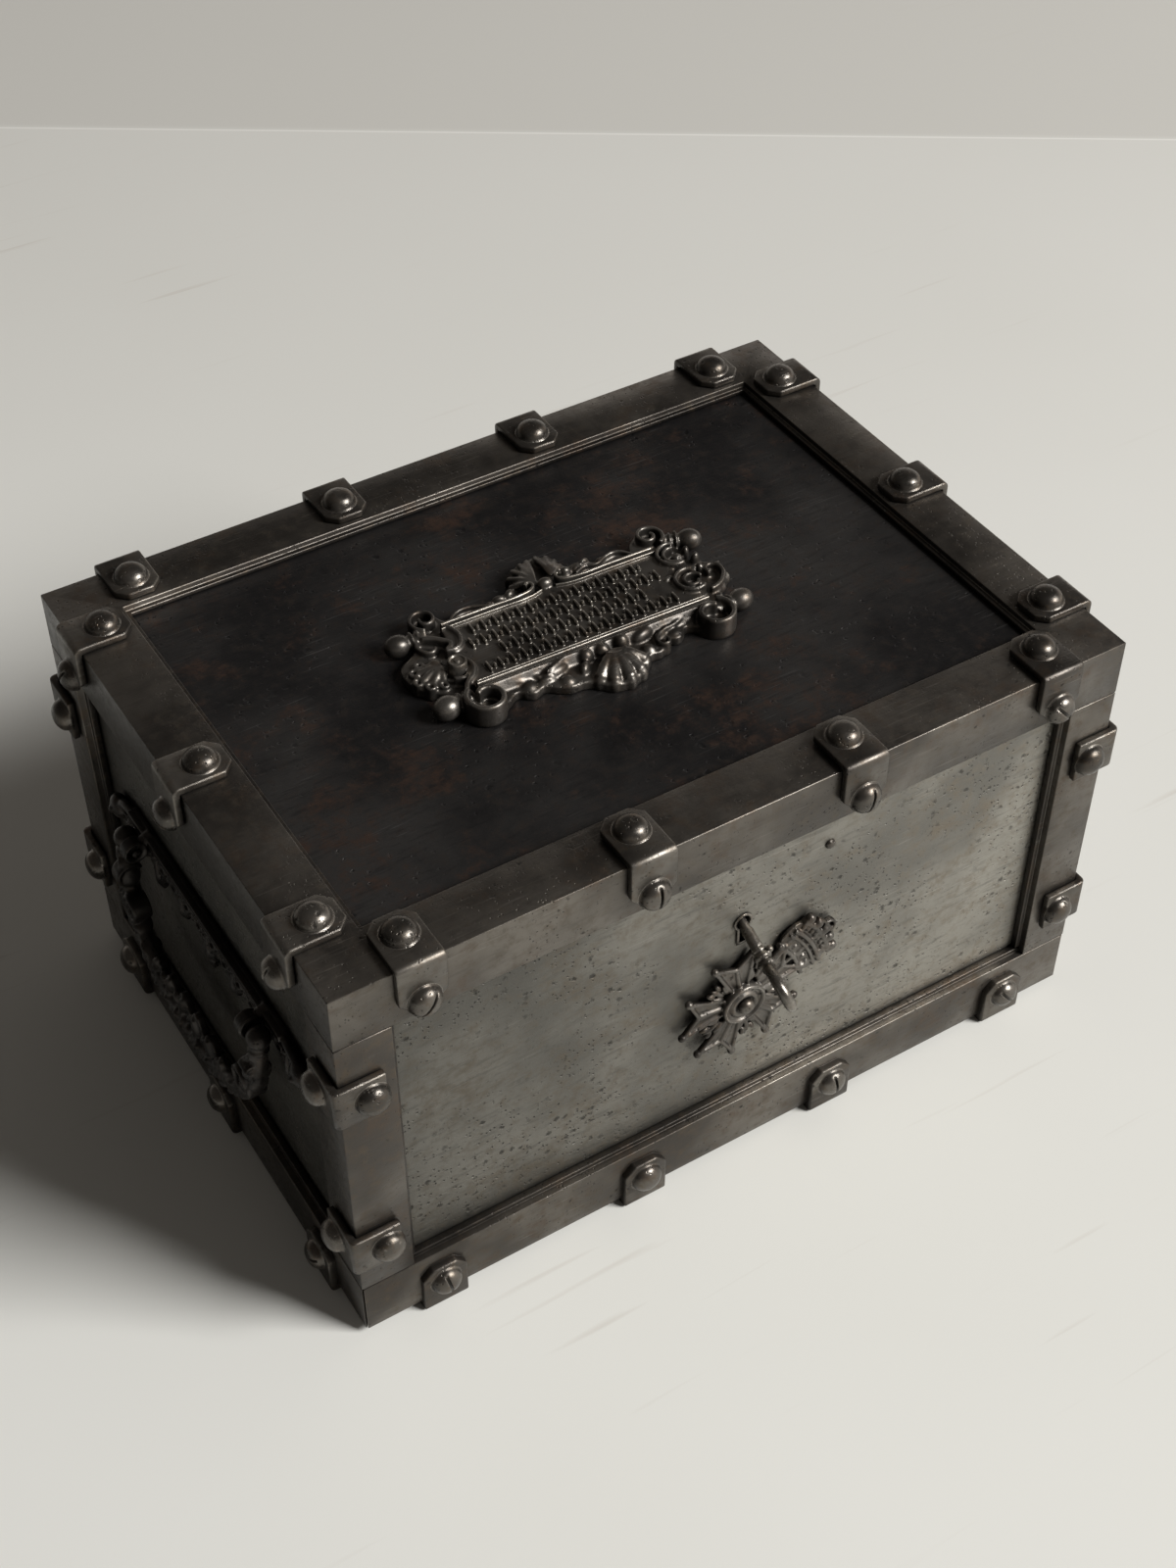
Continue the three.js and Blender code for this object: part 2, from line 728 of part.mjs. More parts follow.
function lockCase() {
  const x0 = lockX - caseLeft;
  const x1 = lockX + caseRight;
  const y0 = wallInnerY + seat;
  const y1 = wallInnerY + caseDepth;
  const z0 = frameBottom + keyholeHeight - caseBelow;
  const z1 = boltBottom + boltHeight + caseAbove;
  const stapleX = lockX - stapleLeft;
  const slotHalf = stapleThick / 2 + stapleRoom;
  const inX0 = x0 + caseWall;
  const inX1 = x1 - caseWall;
  const inY1 = y1 - caseWall;
  const inZ1 = z1 - caseWall;
  const shell = join(
    [block(x0, x1, y0, y1, z0, z1)],
    [
      block(inX0, inX1, y0 - overrun, inY1, z0 + caseWall, inZ1),
      block(stapleX - slotHalf, stapleX + slotHalf, y0 - overrun, inY1, inZ1 - overrun, z1 + overrun),
    ],
  );
  const guideZ = boltBottom - seat;
  const guideY0 = boltY - boltThick / 2;
  const guideY1 = inY1 + weld;
  const guides = [
    block(lockX + guideInner, inX1 + weld, guideY0, guideY1, guideZ - guideHeight, guideZ),
    block(inX0 - weld, stapleX - slotHalf, guideY0, guideY1, guideZ - guideHeight, guideZ),
  ];
  return piece("lock_case", join([shell, ...guides]), plateIron);
}

function lockBolt() {
  const y0 = boltY - boltThick / 2;
  const x0 = lockX - boltTipLeft;
  return piece(
    "lock_bolt",
    block(x0, lockX + boltTailRight, y0, y0 + boltThick, boltBottom, boltBottom + boltHeight),
    brightIron,
  );
}

// The eye under the lid that the bolt slides into.
function lidStaple() {
  const x = lockX - stapleLeft;
  const top = lidPlateBottom - seat;
  const eyeBottom = boltBottom - staplePlay;
  const eyeTop = boltBottom + boltHeight + staplePlay;
  const half = stapleThick / 2;
  const eye = boltThick / 2 + staplePlay;
  const body = join(
    [
      block(x - half, x + half, stapleY, stapleY + stapleWidth, eyeBottom - stapleEnd, top),
      block(x - stapleFlange, x + stapleFlange, stapleY, stapleY + stapleWidth, top - stapleFoot, top),
    ],
    [block(x - half - overrun, x + half + overrun, boltY - eye, boltY + eye, eyeBottom, eyeTop)],
  );
  return piece("lid_staple", body, plateIron);
}

// The key, drawn with its shank along z and its bit down, then turned and drooped.
function key() {
  const bowCentre = keyOutside - keyBowLong / 2;
  const wide = keyBowWide / 2;
  const long = keyBowLong / 2;
  const bowOutline = new THREE.Shape();
  bowOutline.absellipse(0, bowCentre, wide, long, 0, 2 * Math.PI, false, 0);
  const bowHole = new THREE.Path();
  bowHole.absellipse(0, bowCentre, wide - keyBowBar, long - keyBowBar, 0, 2 * Math.PI, true, 0);
  bowOutline.holes.push(bowHole);
  const bow = slabAlongX(bowOutline, -keyBowThick / 2, keyBowThick / 2, keyBowSegments);
  const collarHalf = keyCollarLength / 2;
  const collar = turned([
    [0, keyCollarAt - collarHalf],
    [keyShankRadius, keyCollarAt - collarHalf],
    [keyCollarRadius, keyCollarAt - collarHalf / 2],
    [keyShankRadius, keyCollarAt],
    [keyCollarRadius, keyCollarAt + collarHalf / 2],
    [keyShankRadius, keyCollarAt + collarHalf],
    [0, keyCollarAt + collarHalf],
  ]);
  const shape = join([
    rod(keyShankRadius, -bitFar - keyTail, keyOutside - keyBowLong + keyBowBar),
    collar,
    bow,
    block(-keyBitThick / 2, keyBitThick / 2, -keyBitReach, 0, -bitFar, -bitNear),
  ]);
  const mesh = piece("key", shape.rotateZ(keyTurned * degree), brightIron);
  mesh.position.set(lockX, -wallY, keyEntryZ);
  mesh.rotation.x = Math.PI / 2 + keyDroop * degree;
  return mesh;
}

function atAngle(radius, angle) {
  return [radius * Math.sin(angle * degree), radius * Math.cos(angle * degree)];
}

// The keyhole cover, drawn upright with its coronet at +y. Its boss stands on z = 0,
// and the rest is lifted so that it passes over the keyhole's rim.
function keyholeCover() {
  const z0 = rimThick + seat;
  const z1 = z0 + coverThick;
  const middle = (z0 + z1) / 2;
  const pitch = 360 / coverArms;
  const star = [];
  const parts = [];
  for (let i = 0; i < coverArms; i++) {
    const a = i * pitch;
    star.push(atAngle(armRootRadius, a - armRootSpread), atAngle(armTipRadius, a - armSpread));
    star.push(atAngle(armNotchRadius, a), atAngle(armTipRadius, a + armSpread));
    star.push(atAngle(armRootRadius, a + armRootSpread));
    for (const side of [-armSpread, armSpread]) {
      const [x, y] = atAngle(armTipRadius, a + side);
      parts.push(rod(tipBallRadius, z0, z1, ballSides).translate(x, y, 0));
    }
    const spray = ball(1, 0, 0, 0).scale(sprayRadius, sprayLength, coverThick / 2);
    spray.translate(0, bossRadius + sprayLength / 2, middle);
    parts.push(spray.rotateZ(-(a + pitch / 2) * degree));
  }
  parts.push(slab(outline(star.reverse()), z0, z1));
  parts.push(
    turned([
      [0, 0],
      [bossRadius, 0],
      [bossRadius, z1 + bossHeight],
      [bossRadius - bossLip, z1 + bossHeight],
      [bossRadius - bossLip - bossGroove, z1],
      [bossRadius - bossLip - 2 * bossGroove, z1 + bossHeight / 2],
      [0, z1 + bossHeight / 2],
    ], coverBossSides),
  );
  const half = Math.asin(coronetHalfWidth / coronetCurve);
  for (const distance of coronetBars) {
    const bar = new THREE.Shape();
    const top = coronetCurve + coronetBar / 2;
    const bottom = coronetCurve - coronetBar / 2;
    bar.absarc(0, distance - coronetCurve, top, Math.PI / 2 - half, Math.PI / 2 + half, false);
    bar.absarc(0, distance - coronetCurve, bottom, Math.PI / 2 + half, Math.PI / 2 - half, true);
    bar.closePath();
    parts.push(slab(bar, z0, z1, coronetSegments));
  }
  const last = coronetBars[coronetBars.length - 1];
  for (let i = 0; i < coronetRibs; i++) {
    const x = (i - (coronetRibs - 1) / 2) * coronetHalfWidth * coronetRibShare;
    parts.push(block(x - coronetBar / 2, x + coronetBar / 2, armNotchRadius, last, z0, z1 - coronetInset));
  }
  for (let i = 0; i < coronetPearls; i++) {
    const a = (i / (coronetPearls - 1) - 1 / 2) * 2 * half;
    const x = coronetCurve * Math.sin(a);
    const y = last - coronetCurve + coronetCurve * Math.cos(a);
    parts.push(ball(coronetPearlRadius, x, y + (i % 2 ? 0 : coronetPearlRadius / 2), middle));
  }
  const ringAt = last + coronetRingRadius + coronetPearlRadius / 2;
  parts.push(rod(coronetRingRadius, z0, z1).translate(0, ringAt, 0));
  const shape = join(parts, [rod(pivotPinRadius + seat, -overrun, z1 + bossHeight + overrun)]);
  const cover = piece("keyhole_cover", shape.rotateZ((coverTilt - 90) * degree), castIron);
  cover.position.set(lockX, -wallY - seat, frameBottom + coverPivotHeight);
  cover.rotation.x = Math.PI / 2;
  return cover;
}

function coverPivot() {
  const under = 2 * seat + rimThick + coverThick + bossHeight / 2 + seat;
  const head = dome(pivotHeadRadius, pivotHeadHeight).translate(0, 0, under + weld);
  const tail = rod(pivotHeadRadius, -wallThick - seat - pivotTail, -wallThick - seat);
  const shank = rod(pivotPinRadius, -wallThick - pivotTail, under + weld);
  const pin = piece("cover_pivot", join([shank, head, tail]), brightIron);
  pin.position.set(lockX, -wallY, frameBottom + coverPivotHeight);
  pin.rotation.x = Math.PI / 2;
  return pin;
}

function lockRivet() {
  const head = dome(lockRivetRadius, lockRivetProud).translate(0, 0, seat + weld);
  const shank = rod(lockRivetRadius / 2, -wallThick, seat + weld);
  const rivet = piece("lock_rivet", join([head, shank]), brightIron);
  rivet.position.set(lockRivetX, -wallY, frameBottom + lockRivetHeight);
  rivet.rotation.x = Math.PI / 2;
  return rivet;
}

// Handle plate, drawn on z = 0 with x along the side and y up, from the bail's axis.
function handlePlate(name, sign) {
  const top = plateTop - bailAxisHeight;
  const bottom = top - plateHeight;
  const endTop = top - plateEndDrop;
  const edge = [[-plateStraight, top], [-plateHalf, endTop], [-plateHalf, bottom]];
  const pitch = (2 * plateHalf) / drops;
  for (let i = 0; i < drops; i++) {
    const x = -plateHalf + (i + 1 / 2) * pitch;
    let length = i % 2 ? dropLength * middleDropShare : dropLength * shortDropShare;
    if (i === (drops - 1) / 2) length = dropLength;
    edge.push([x - dropWidth / 2, bottom], [x, bottom - length], [x + dropWidth / 2, bottom]);
  }
  edge.push([plateHalf, bottom], [plateHalf, endTop], [plateStraight, top]);
  const parts = [
    slab(outline(edge), 0, plateThick),
    block(-plateStraight, plateStraight, top - plateRidge, top, 0, plateThick + plateRidge / 2),
  ];
  const cuts = [];
  for (const end of [-1, 1]) {
    parts.push(rod(finialRadius, 0, plateThick + plateRidge / 2).translate(end * plateHalf, endTop, 0));
    const x = end * (bailHalf - bailEndRadius - seat - lugThick / 2);
    const axis = bailAxisProud - seat;
    parts.push(rod(lugRadius, -lugThick / 2, lugThick / 2).rotateY(Math.PI / 2).translate(x, 0, axis));
    parts.push(block(x - lugThick / 2, x + lugThick / 2, -lugRadius, lugRadius, 0, axis));
    cuts.push(rod(bailPinRadius + seat, -lugThick, lugThick).rotateY(Math.PI / 2).translate(x, 0, axis));
  }
  const plate = piece(name, join(parts, cuts), castIron);
  return placeOnSide(plate, sign, wallX + seat);
}

// Stands a piece drawn in x and y, with its face towards +z, on a side of the box.
function placeOnSide(mesh, sign, distance) {
  mesh.geometry.applyMatrix4(
    new THREE.Matrix4().makeBasis(
      new THREE.Vector3(0, sign, 0),
      new THREE.Vector3(0, 0, 1),
      new THREE.Vector3(sign, 0, 0),
    ),
  );
  mesh.position.set(sign * distance, 0, frameBottom + bailAxisHeight);
  return mesh;
}

// The bail, drawn like its plate, with its axis along x at the origin.
function bail(name, sign) {
  const at = ([x, y, z]) => new THREE.Vector3(bailHalf * x, -bailDrop * y, bailBow * z);
  const points = bailPathShares.map(at);
  const middle = new THREE.Vector3(0, -bailDrop, bailBow);
  const mirrored = points.map((p) => new THREE.Vector3(-p.x, p.y, p.z));
  const path = new THREE.CatmullRomCurve3([...points, middle, ...mirrored.reverse()]);
  const round = new THREE.Shape();
  round.absarc(0, 0, bailRadius, 0, 2 * Math.PI, false);
  const bar = new THREE.ExtrudeGeometry(round, {
    steps: bailSteps,
    curveSegments: bailSides,
    extrudePath: path,
    bevelEnabled: false,
  });
  const parts = [bar];
  const pinLength = bailEndRadius + seat + lugThick + pinPast;
  for (const end of [-1, 1]) {
    parts.push(ball(bailEndRadius, end * bailHalf, 0, 0));
    const pin = rod(bailPinRadius, 0, pinLength).rotateY((-end * Math.PI) / 2);
    parts.push(pin.translate(end * bailHalf, 0, 0));
    const curl = rod(bailScrollRadius, -bailScrollThick / 2, bailScrollThick / 2);
    const arm = at(bailPathShares[2]);
    parts.push(curl.translate(end * (arm.x - bailScrollRadius / 2), arm.y, arm.z));
  }
  for (let i = 0; i < gripBeads; i++) {
    const x = (i - (gripBeads - 1) / 2) * gripBeadPitch;
    const bead = rod(gripBeadRadius, -gripBeadThick / 2, gripBeadThick / 2).rotateY(Math.PI / 2);
    parts.push(bead.translate(x, -bailDrop, bailBow));
  }
  return placeOnSide(piece(name, join(parts), castIron), sign, wallX + bailAxisProud);
}

// Hinges: each has a leaf on the back plate, a leaf on the lid's skirt, and a pin.
const hingeAxisY = halfDepth + seat + knuckleRadius;
const hingeLeafY = halfDepth + seat;

function hingeHalfKnuckle() {
  return (hingeWidth * knuckleShare) / 2;
}

function hingePinHole() {
  const hole = rod(hingePinRadius + seat, -hingeWidth, hingeWidth).rotateY(Math.PI / 2);
  return hole.translate(0, hingeAxisY, seamHeight);
}

function hingeBodyLeaf(name, x) {
  const crank = seamHeight - hingeCrank;
  const end = crank - bodyLeafHeight;
  const wall = wallY + seat;
  const section = outline([
    [wall, end],
    [wall + leafThick, end],
    [wall + leafThick, crank - leafThick],
    [hingeLeafY + leafThick, crank - leafThick],
    [hingeLeafY + leafThick, seamHeight],
    [hingeLeafY, seamHeight],
    [hingeLeafY, crank],
    [wall, crank],
  ]);
  const half = hingeWidth / 2;
  const inner = hingeHalfKnuckle() + seat;
  const parts = [slabAlongX(section, -half, half)];
  for (const end of [-1, 1]) {
    const knuckle = rod(knuckleRadius, inner, half).rotateY((end * Math.PI) / 2);
    parts.push(knuckle.translate(0, hingeAxisY, seamHeight));
  }
  const room = knuckleRadius + seat;
  const gapEnd = hingeAxisY + room;
  const gap = block(-inner, inner, hingeLeafY - overrun, gapEnd, seamHeight - room, seamHeight + room);
  const leaf = piece(name, join(parts, [hingePinHole(), gap]), frameIron);
  leaf.position.x = x;
  return leaf;
}

function hingeLidLeaf(name, x) {
  const half = hingeWidth / 2;
  const middle = hingeHalfKnuckle();
  const room = knuckleRadius + seat;
  const parts = [
    block(-half, half, hingeLeafY, hingeLeafY + leafThick, seamHeight, seamHeight + lidLeafHeight),
    rod(knuckleRadius, -middle, middle).rotateY(Math.PI / 2).translate(0, hingeAxisY, seamHeight),
  ];
  const cuts = [hingePinHole()];
  for (const [x0, x1] of [[-half - overrun, -middle], [middle, half + overrun]]) {
    cuts.push(block(x0, x1, hingeLeafY - overrun, hingeAxisY + room, seamHeight - room, seamHeight + room));
  }
  const leaf = piece(name, join(parts, cuts), frameIron);
  leaf.position.x = x;
  return leaf;
}

function hingePin(name, x) {
  const half = hingeWidth / 2;
  const parts = [rod(hingePinRadius, -half - seat - weld, half + seat + weld)];
  for (const end of [-1, 1]) {
    const head = rod(hingePinRadius + weld, half + seat, half + seat + pinHeadHeight);
    parts.push(end < 0 ? head.rotateX(Math.PI) : head);
  }
  const pin = piece(name, join(parts).rotateY(Math.PI / 2), brightIron);
  pin.position.set(x, hingeAxisY, seamHeight);
  return pin;
}

// Each hinge stands midway between the outer two clips of its half of the back.
const [innerClip, outerClip] = clipPlaces(halfLength, longSideClips).slice(-2);
const hingeX = (innerClip + outerClip) / 2;

const box = new THREE.Group();
for (const plate of wallPlates()) box.add(plate);
for (const side of sides) box.add(baseRail(side));
const corners = [["front_left", -1, -1], ["front_right", 1, -1], ["back_right", 1, 1], ["back_left", -1, 1]];
for (const [corner, signX, signY] of corners) {
  box.add(cornerPost(corner, signX, signY));
  box.add(postClip(`post_clip_${corner}_upper`, signX, signY, postClipHigh));
  box.add(postClip(`post_clip_${corner}_lower`, signX, signY, postClipLow));
}
for (const [hand, sign] of [["left", -1], ["right", 1]]) {
  box.add(handlePlate(`handle_plate_${hand}`, sign));
  box.add(bail(`bail_${hand}`, sign));
  box.add(hingeBodyLeaf(`hinge_leaf_box_${hand}`, sign * hingeX));
  box.add(hingePin(`hinge_pin_${hand}`, sign * hingeX));
}
for (const part of [lockCase(), lockBolt(), keyholeRim(), key(), keyholeCover(), coverPivot(), lockRivet()]) {
  box.add(part);
}

const lid = new THREE.Group();
for (const part of [lidFrame(), lidPanel(), cartouche(), lidStaple()]) lid.add(part);
for (const side of sides) {
  clipPlaces(side.half, side.clips).forEach((at, i) => lid.add(lidClip(side, at, i)));
}
for (const [hand, sign] of [["left", -1], ["right", 1]]) {
  lid.add(hingeLidLeaf(`hinge_leaf_lid_${hand}`, sign * hingeX));
}

const strongbox = new THREE.Group();
strongbox.add(box, lid);
const extent = new THREE.Box3().setFromObject(strongbox);
strongbox.position.y = -(extent.min.y + extent.max.y) / 2;
export default strongbox;
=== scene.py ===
# Looks of the iron strongbox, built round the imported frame. Metres, +Z up, front towards -Y.
import math
import bpy
from mathutils import Matrix, Vector


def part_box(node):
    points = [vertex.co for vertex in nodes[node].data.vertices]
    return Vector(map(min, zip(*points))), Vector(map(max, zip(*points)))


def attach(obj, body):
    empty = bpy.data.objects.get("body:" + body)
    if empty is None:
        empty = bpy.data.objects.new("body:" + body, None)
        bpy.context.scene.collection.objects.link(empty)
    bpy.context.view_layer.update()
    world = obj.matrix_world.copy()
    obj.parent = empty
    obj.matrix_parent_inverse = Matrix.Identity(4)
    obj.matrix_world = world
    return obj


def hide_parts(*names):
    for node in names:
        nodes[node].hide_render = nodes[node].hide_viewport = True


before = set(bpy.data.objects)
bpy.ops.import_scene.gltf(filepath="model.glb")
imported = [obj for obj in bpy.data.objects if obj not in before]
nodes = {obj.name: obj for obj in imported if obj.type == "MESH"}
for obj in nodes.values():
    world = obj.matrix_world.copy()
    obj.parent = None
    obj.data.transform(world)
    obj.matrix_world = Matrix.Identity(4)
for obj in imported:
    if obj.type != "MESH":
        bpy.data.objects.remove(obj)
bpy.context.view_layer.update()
bpy.ops.object.select_all(action="DESELECT")
mm = 0.001
hair = 1e-6  # corners closer than this are one

# where the box stands in the frame
lidLow, lidHigh = [Vector(v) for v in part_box("lid_frame")]
midY = (lidLow.y + lidHigh.y) / 2
halfLong = (lidHigh.x - lidLow.x) / 2
halfDeep = (lidHigh.y - lidLow.y) / 2
lidTop = lidHigh.z
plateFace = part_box("front_panel")[0][1]


# helpers for modelling with operators

def only(piece):
    bpy.ops.object.select_all(action="DESELECT")
    piece.select_set(True)
    bpy.context.view_layer.objects.active = piece


def editing(piece):
    only(piece)
    bpy.ops.object.mode_set(mode="EDIT")


def done():
    bpy.ops.object.mode_set(mode="OBJECT")


def clearPicks(piece):
    for part in (piece.data.vertices, piece.data.edges, piece.data.polygons):
        part.foreach_set("select", [False] * len(part))


# selects the faces of the piece in edit mode whose centre and normal pass the test
def pickFaces(piece, wanted):
    done()
    clearPicks(piece)
    for face in piece.data.polygons:
        face.select = bool(wanted(face.center, face.normal))
    bpy.ops.object.mode_set(mode="EDIT")
    bpy.ops.mesh.select_mode(type="FACE")


# selects the edges whose two ends pass the test
def pickEdges(piece, wanted):
    done()
    clearPicks(piece)
    corners = piece.data.vertices
    for edge in piece.data.edges:
        a, b = [corners[i].co for i in edge.vertices]
        if wanted(a, b):
            edge.select = True
            corners[edge.vertices[0]].select = True
            corners[edge.vertices[1]].select = True
    bpy.ops.object.mode_set(mode="EDIT")
    bpy.ops.mesh.select_mode(type="EDGE")


def extrude(x=0, y=0, z=0):
    bpy.ops.mesh.extrude_region_move(TRANSFORM_OT_translate={"value": (x, y, z)})


def bar(name, low, high):
    size = [high[i] - low[i] for i in range(3)]
    middle = [(high[i] + low[i]) / 2 for i in range(3)]
    bpy.ops.object.select_all(action="DESELECT")
    bpy.ops.mesh.primitive_cube_add(size=1, location=middle, scale=size)
    piece = bpy.context.active_object
    bpy.ops.object.transform_apply(location=True, rotation=True, scale=True)
    piece.name = name
    return piece


def finished(piece, kind, **settings):
    only(piece)
    bpy.ops.object.modifier_add(type=kind)
    modifier = piece.modifiers[-1]
    for key, value in settings.items():
        setattr(modifier, key, value)
    bpy.ops.object.modifier_apply(modifier=modifier.name)
    return piece


def softEdges(piece, width, segments=2, angle=35):
    finished(piece, "BEVEL", width=width, segments=segments, limit_method="ANGLE",
             angle_limit=math.radians(angle), miter_outer="MITER_ARC")
    only(piece)
    bpy.ops.object.shade_smooth_by_angle(angle=math.radians(50))
    return piece


def facesOut(piece):
    editing(piece)
    bpy.ops.mesh.select_all(action="SELECT")
    bpy.ops.mesh.remove_doubles(threshold=hair)
    bpy.ops.mesh.normals_make_consistent(inside=False)
    done()


def placed(piece, location=(0, 0, 0), rotation=(0, 0, 0)):
    only(piece)
    piece.location = location
    piece.rotation_euler = rotation
    bpy.ops.object.transform_apply(location=True, rotation=True, scale=True)
    return piece


def copied(piece, name):
    only(piece)
    bpy.ops.object.duplicate(linked=False)
    twin = bpy.context.active_object
    twin.name = name
    return twin


def putAway(*pieces):
    for piece in pieces:
        bpy.data.objects.remove(piece)


# cuts one shape out of another
def cutOut(piece, cutter):
    finished(piece, "BOOLEAN", operation="DIFFERENCE", object=cutter, solver="EXACT")
    putAway(cutter)


def joined(name, pieces):
    bpy.ops.object.select_all(action="DESELECT")
    for piece in pieces:
        piece.select_set(True)
    bpy.context.view_layer.objects.active = pieces[0]
    bpy.ops.object.join()
    pieces[0].name = name
    pieces[0].data.name = name
    return pieces[0]


def painted(piece, material):
    piece.data.materials.clear()
    piece.data.materials.append(material)
    return piece


def inMm(pairs):
    return [(a * mm, b * mm) for a, b in pairs]


# a turned shape round the z axis from pairs of radius and height, first pair at the foot
def turnedShape(name, profile, sides=32):
    radius, height = profile[0]
    bpy.ops.object.select_all(action="DESELECT")
    bpy.ops.mesh.primitive_circle_add(vertices=sides, radius=radius, fill_type="NGON",
                                      location=(0, 0, height))
    piece = bpy.context.active_object
    bpy.ops.object.transform_apply(location=True, rotation=True, scale=True)
    piece.name = name
    bpy.ops.object.mode_set(mode="EDIT")
    bpy.ops.mesh.select_mode(type="FACE")
    bpy.ops.mesh.select_all(action="SELECT")
    for nextRadius, nextHeight in profile[1:]:
        extrude(z=nextHeight - height)
        if nextRadius > 0:
            k = nextRadius / radius
            bpy.ops.transform.resize(value=(k, k, 1), center_override=(0, 0, nextHeight))
            radius = nextRadius
        else:
            bpy.ops.mesh.merge(type="CENTER")
        height = nextHeight
    bpy.ops.mesh.select_all(action="SELECT")
    bpy.ops.mesh.normals_make_consistent(inside=False)
    done()
    bpy.ops.object.shade_smooth_by_angle(angle=math.radians(40))
    return piece


# puts the piece on its body; stoodFor are the nodes it is shown instead of
def kept(piece, body, material, slot, *stoodFor):
    if material:
        painted(piece, material)
    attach(piece, body)
    if stoodFor:
        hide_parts(*stoodFor)
    return piece


# a copy of a CAD node with its edges broken, shown instead of the node
def brokenEdges(node, name, body, material, slot, width):
    piece = bpy.data.objects.new(name, nodes[node].data.copy())
    bpy.context.scene.collection.objects.link(piece)
    editing(piece)
    bpy.ops.mesh.select_all(action="SELECT")
    bpy.ops.mesh.remove_doubles(threshold=hair)
    bpy.ops.mesh.dissolve_limited(angle_limit=math.radians(2))
    done()
    if piece.data.has_custom_normals:
        bpy.ops.mesh.customdata_custom_splitnormals_clear()
    softEdges(piece, width)
    return kept(piece, body, material, slot, node)


# gives the picked faces a second material
def overlaid(piece, material, wanted):
    piece.data.materials.append(material)
    pickFaces(piece, wanted)
    piece.active_material_index = len(piece.data.materials) - 1
    bpy.ops.object.material_slot_assign()
    done()
    return piece


# adds a node; each source is a socket and what feeds it, another node's output or a fixed value
def newNode(tree, kind, *sources, **values):
    node = tree.nodes.new(kind)
    for key, value in values.items():
        if key in node.inputs:
            node.inputs[key].default_value = value
        else:
            setattr(node, key, value)
    for socket, source in sources:
        if hasattr(source, "is_linked"):
            tree.links.new(source, node.inputs[socket])
        else:
            node.inputs[socket].default_value = source
    return node


# materials

# leftShare and rightShare make a surface paler towards the right, leftFaceShade and rightFaceShade make faces turned
# to the ends darker: painted light and shade
plateLook = {
    "dark": (0.104, 0.100, 0.089), "light": (0.208, 0.199, 0.176), "tint": (0.138, 0.120, 0.094),
    "worn": (0.36, 0.34, 0.31), "metallic": 0.80, "rough": 0.43, "roughSpread": 0.18, "rust": (0.120, 0.097, 0.069),
    "rustShare": 0.45, "patch": 16, "mottle": 260, "pitScale": 330, "pitShare": 0.76, "pitDeep": 2.2,
    "wearRadius": 0.7, "wear": 0.5, "scratch": 0.7, "grain": 0.9, "swell": 0.8, "streaks": 0.6,
    "leftShare": 0.66, "rightShare": 1.74, "leftFaceShade": 0.62, "rightFaceShade": 0.6,
}
lidLook = {
    "dark": (0.026, 0.025, 0.026), "light": (0.072, 0.069, 0.067), "tint": (0.050, 0.040, 0.034),
    "worn": (0.24, 0.235, 0.23), "metallic": 0.80, "rough": 0.42, "roughSpread": 0.16, "rust": (0.098, 0.060, 0.045),
    "rustShare": 0.85, "patch": 17, "mottle": 220, "pitScale": 240, "pitShare": 0.90, "pitDeep": 1.1,
    "wearRadius": 0.7, "wear": 0.5, "scratch": 0.8, "grain": 0.35, "swell": 0.9, "streaks": 0.45,
    "leftShare": 1, "rightShare": 1, "leftFaceShade": 1, "rightFaceShade": 1,
}
strapLook = {
    "dark": (0.060, 0.054, 0.048), "light": (0.150, 0.137, 0.120), "tint": (0.092, 0.073, 0.054),
    "worn": (0.36, 0.335, 0.30), "metallic": 0.90, "rough": 0.38, "roughSpread": 0.18, "rust": (0.084, 0.058, 0.040),
    "rustShare": 0.5, "patch": 22, "mottle": 240, "pitScale": 420, "pitShare": 0.90, "pitDeep": 0.6,
    "wearRadius": 0.8, "wear": 0.9, "scratch": 0.6, "grain": 0.6, "swell": 1.2, "streaks": 0.3,
    "leftShare": 1.22, "rightShare": 1.15, "leftFaceShade": 0.5, "rightFaceShade": 0.85,
}
clipLook = dict(strapLook, light=(0.145, 0.134, 0.118), worn=(0.44, 0.41, 0.37), patch=40)
headLook = dict(strapLook, dark=(0.060, 0.055, 0.049), light=(0.135, 0.124, 0.110), metallic=0.88,
                worn=(0.42, 0.39, 0.35), rough=0.31, wear=0.5, patch=60, pitShare=0.84, pitDeep=1.2, grain=0.9,
                swell=2.2, streaks=0.0)
castLook = dict(strapLook, dark=(0.055, 0.050, 0.045), light=(0.140, 0.130, 0.117), metallic=0.86,
                worn=(0.60, 0.565, 0.51), rough=0.36, patch=45, wearRadius=0.6, wear=1.0, grain=0.6, streaks=0.0)
keyLook = dict(headLook, dark=(0.10, 0.092, 0.081), light=(0.28, 0.26, 0.23), rough=0.30)

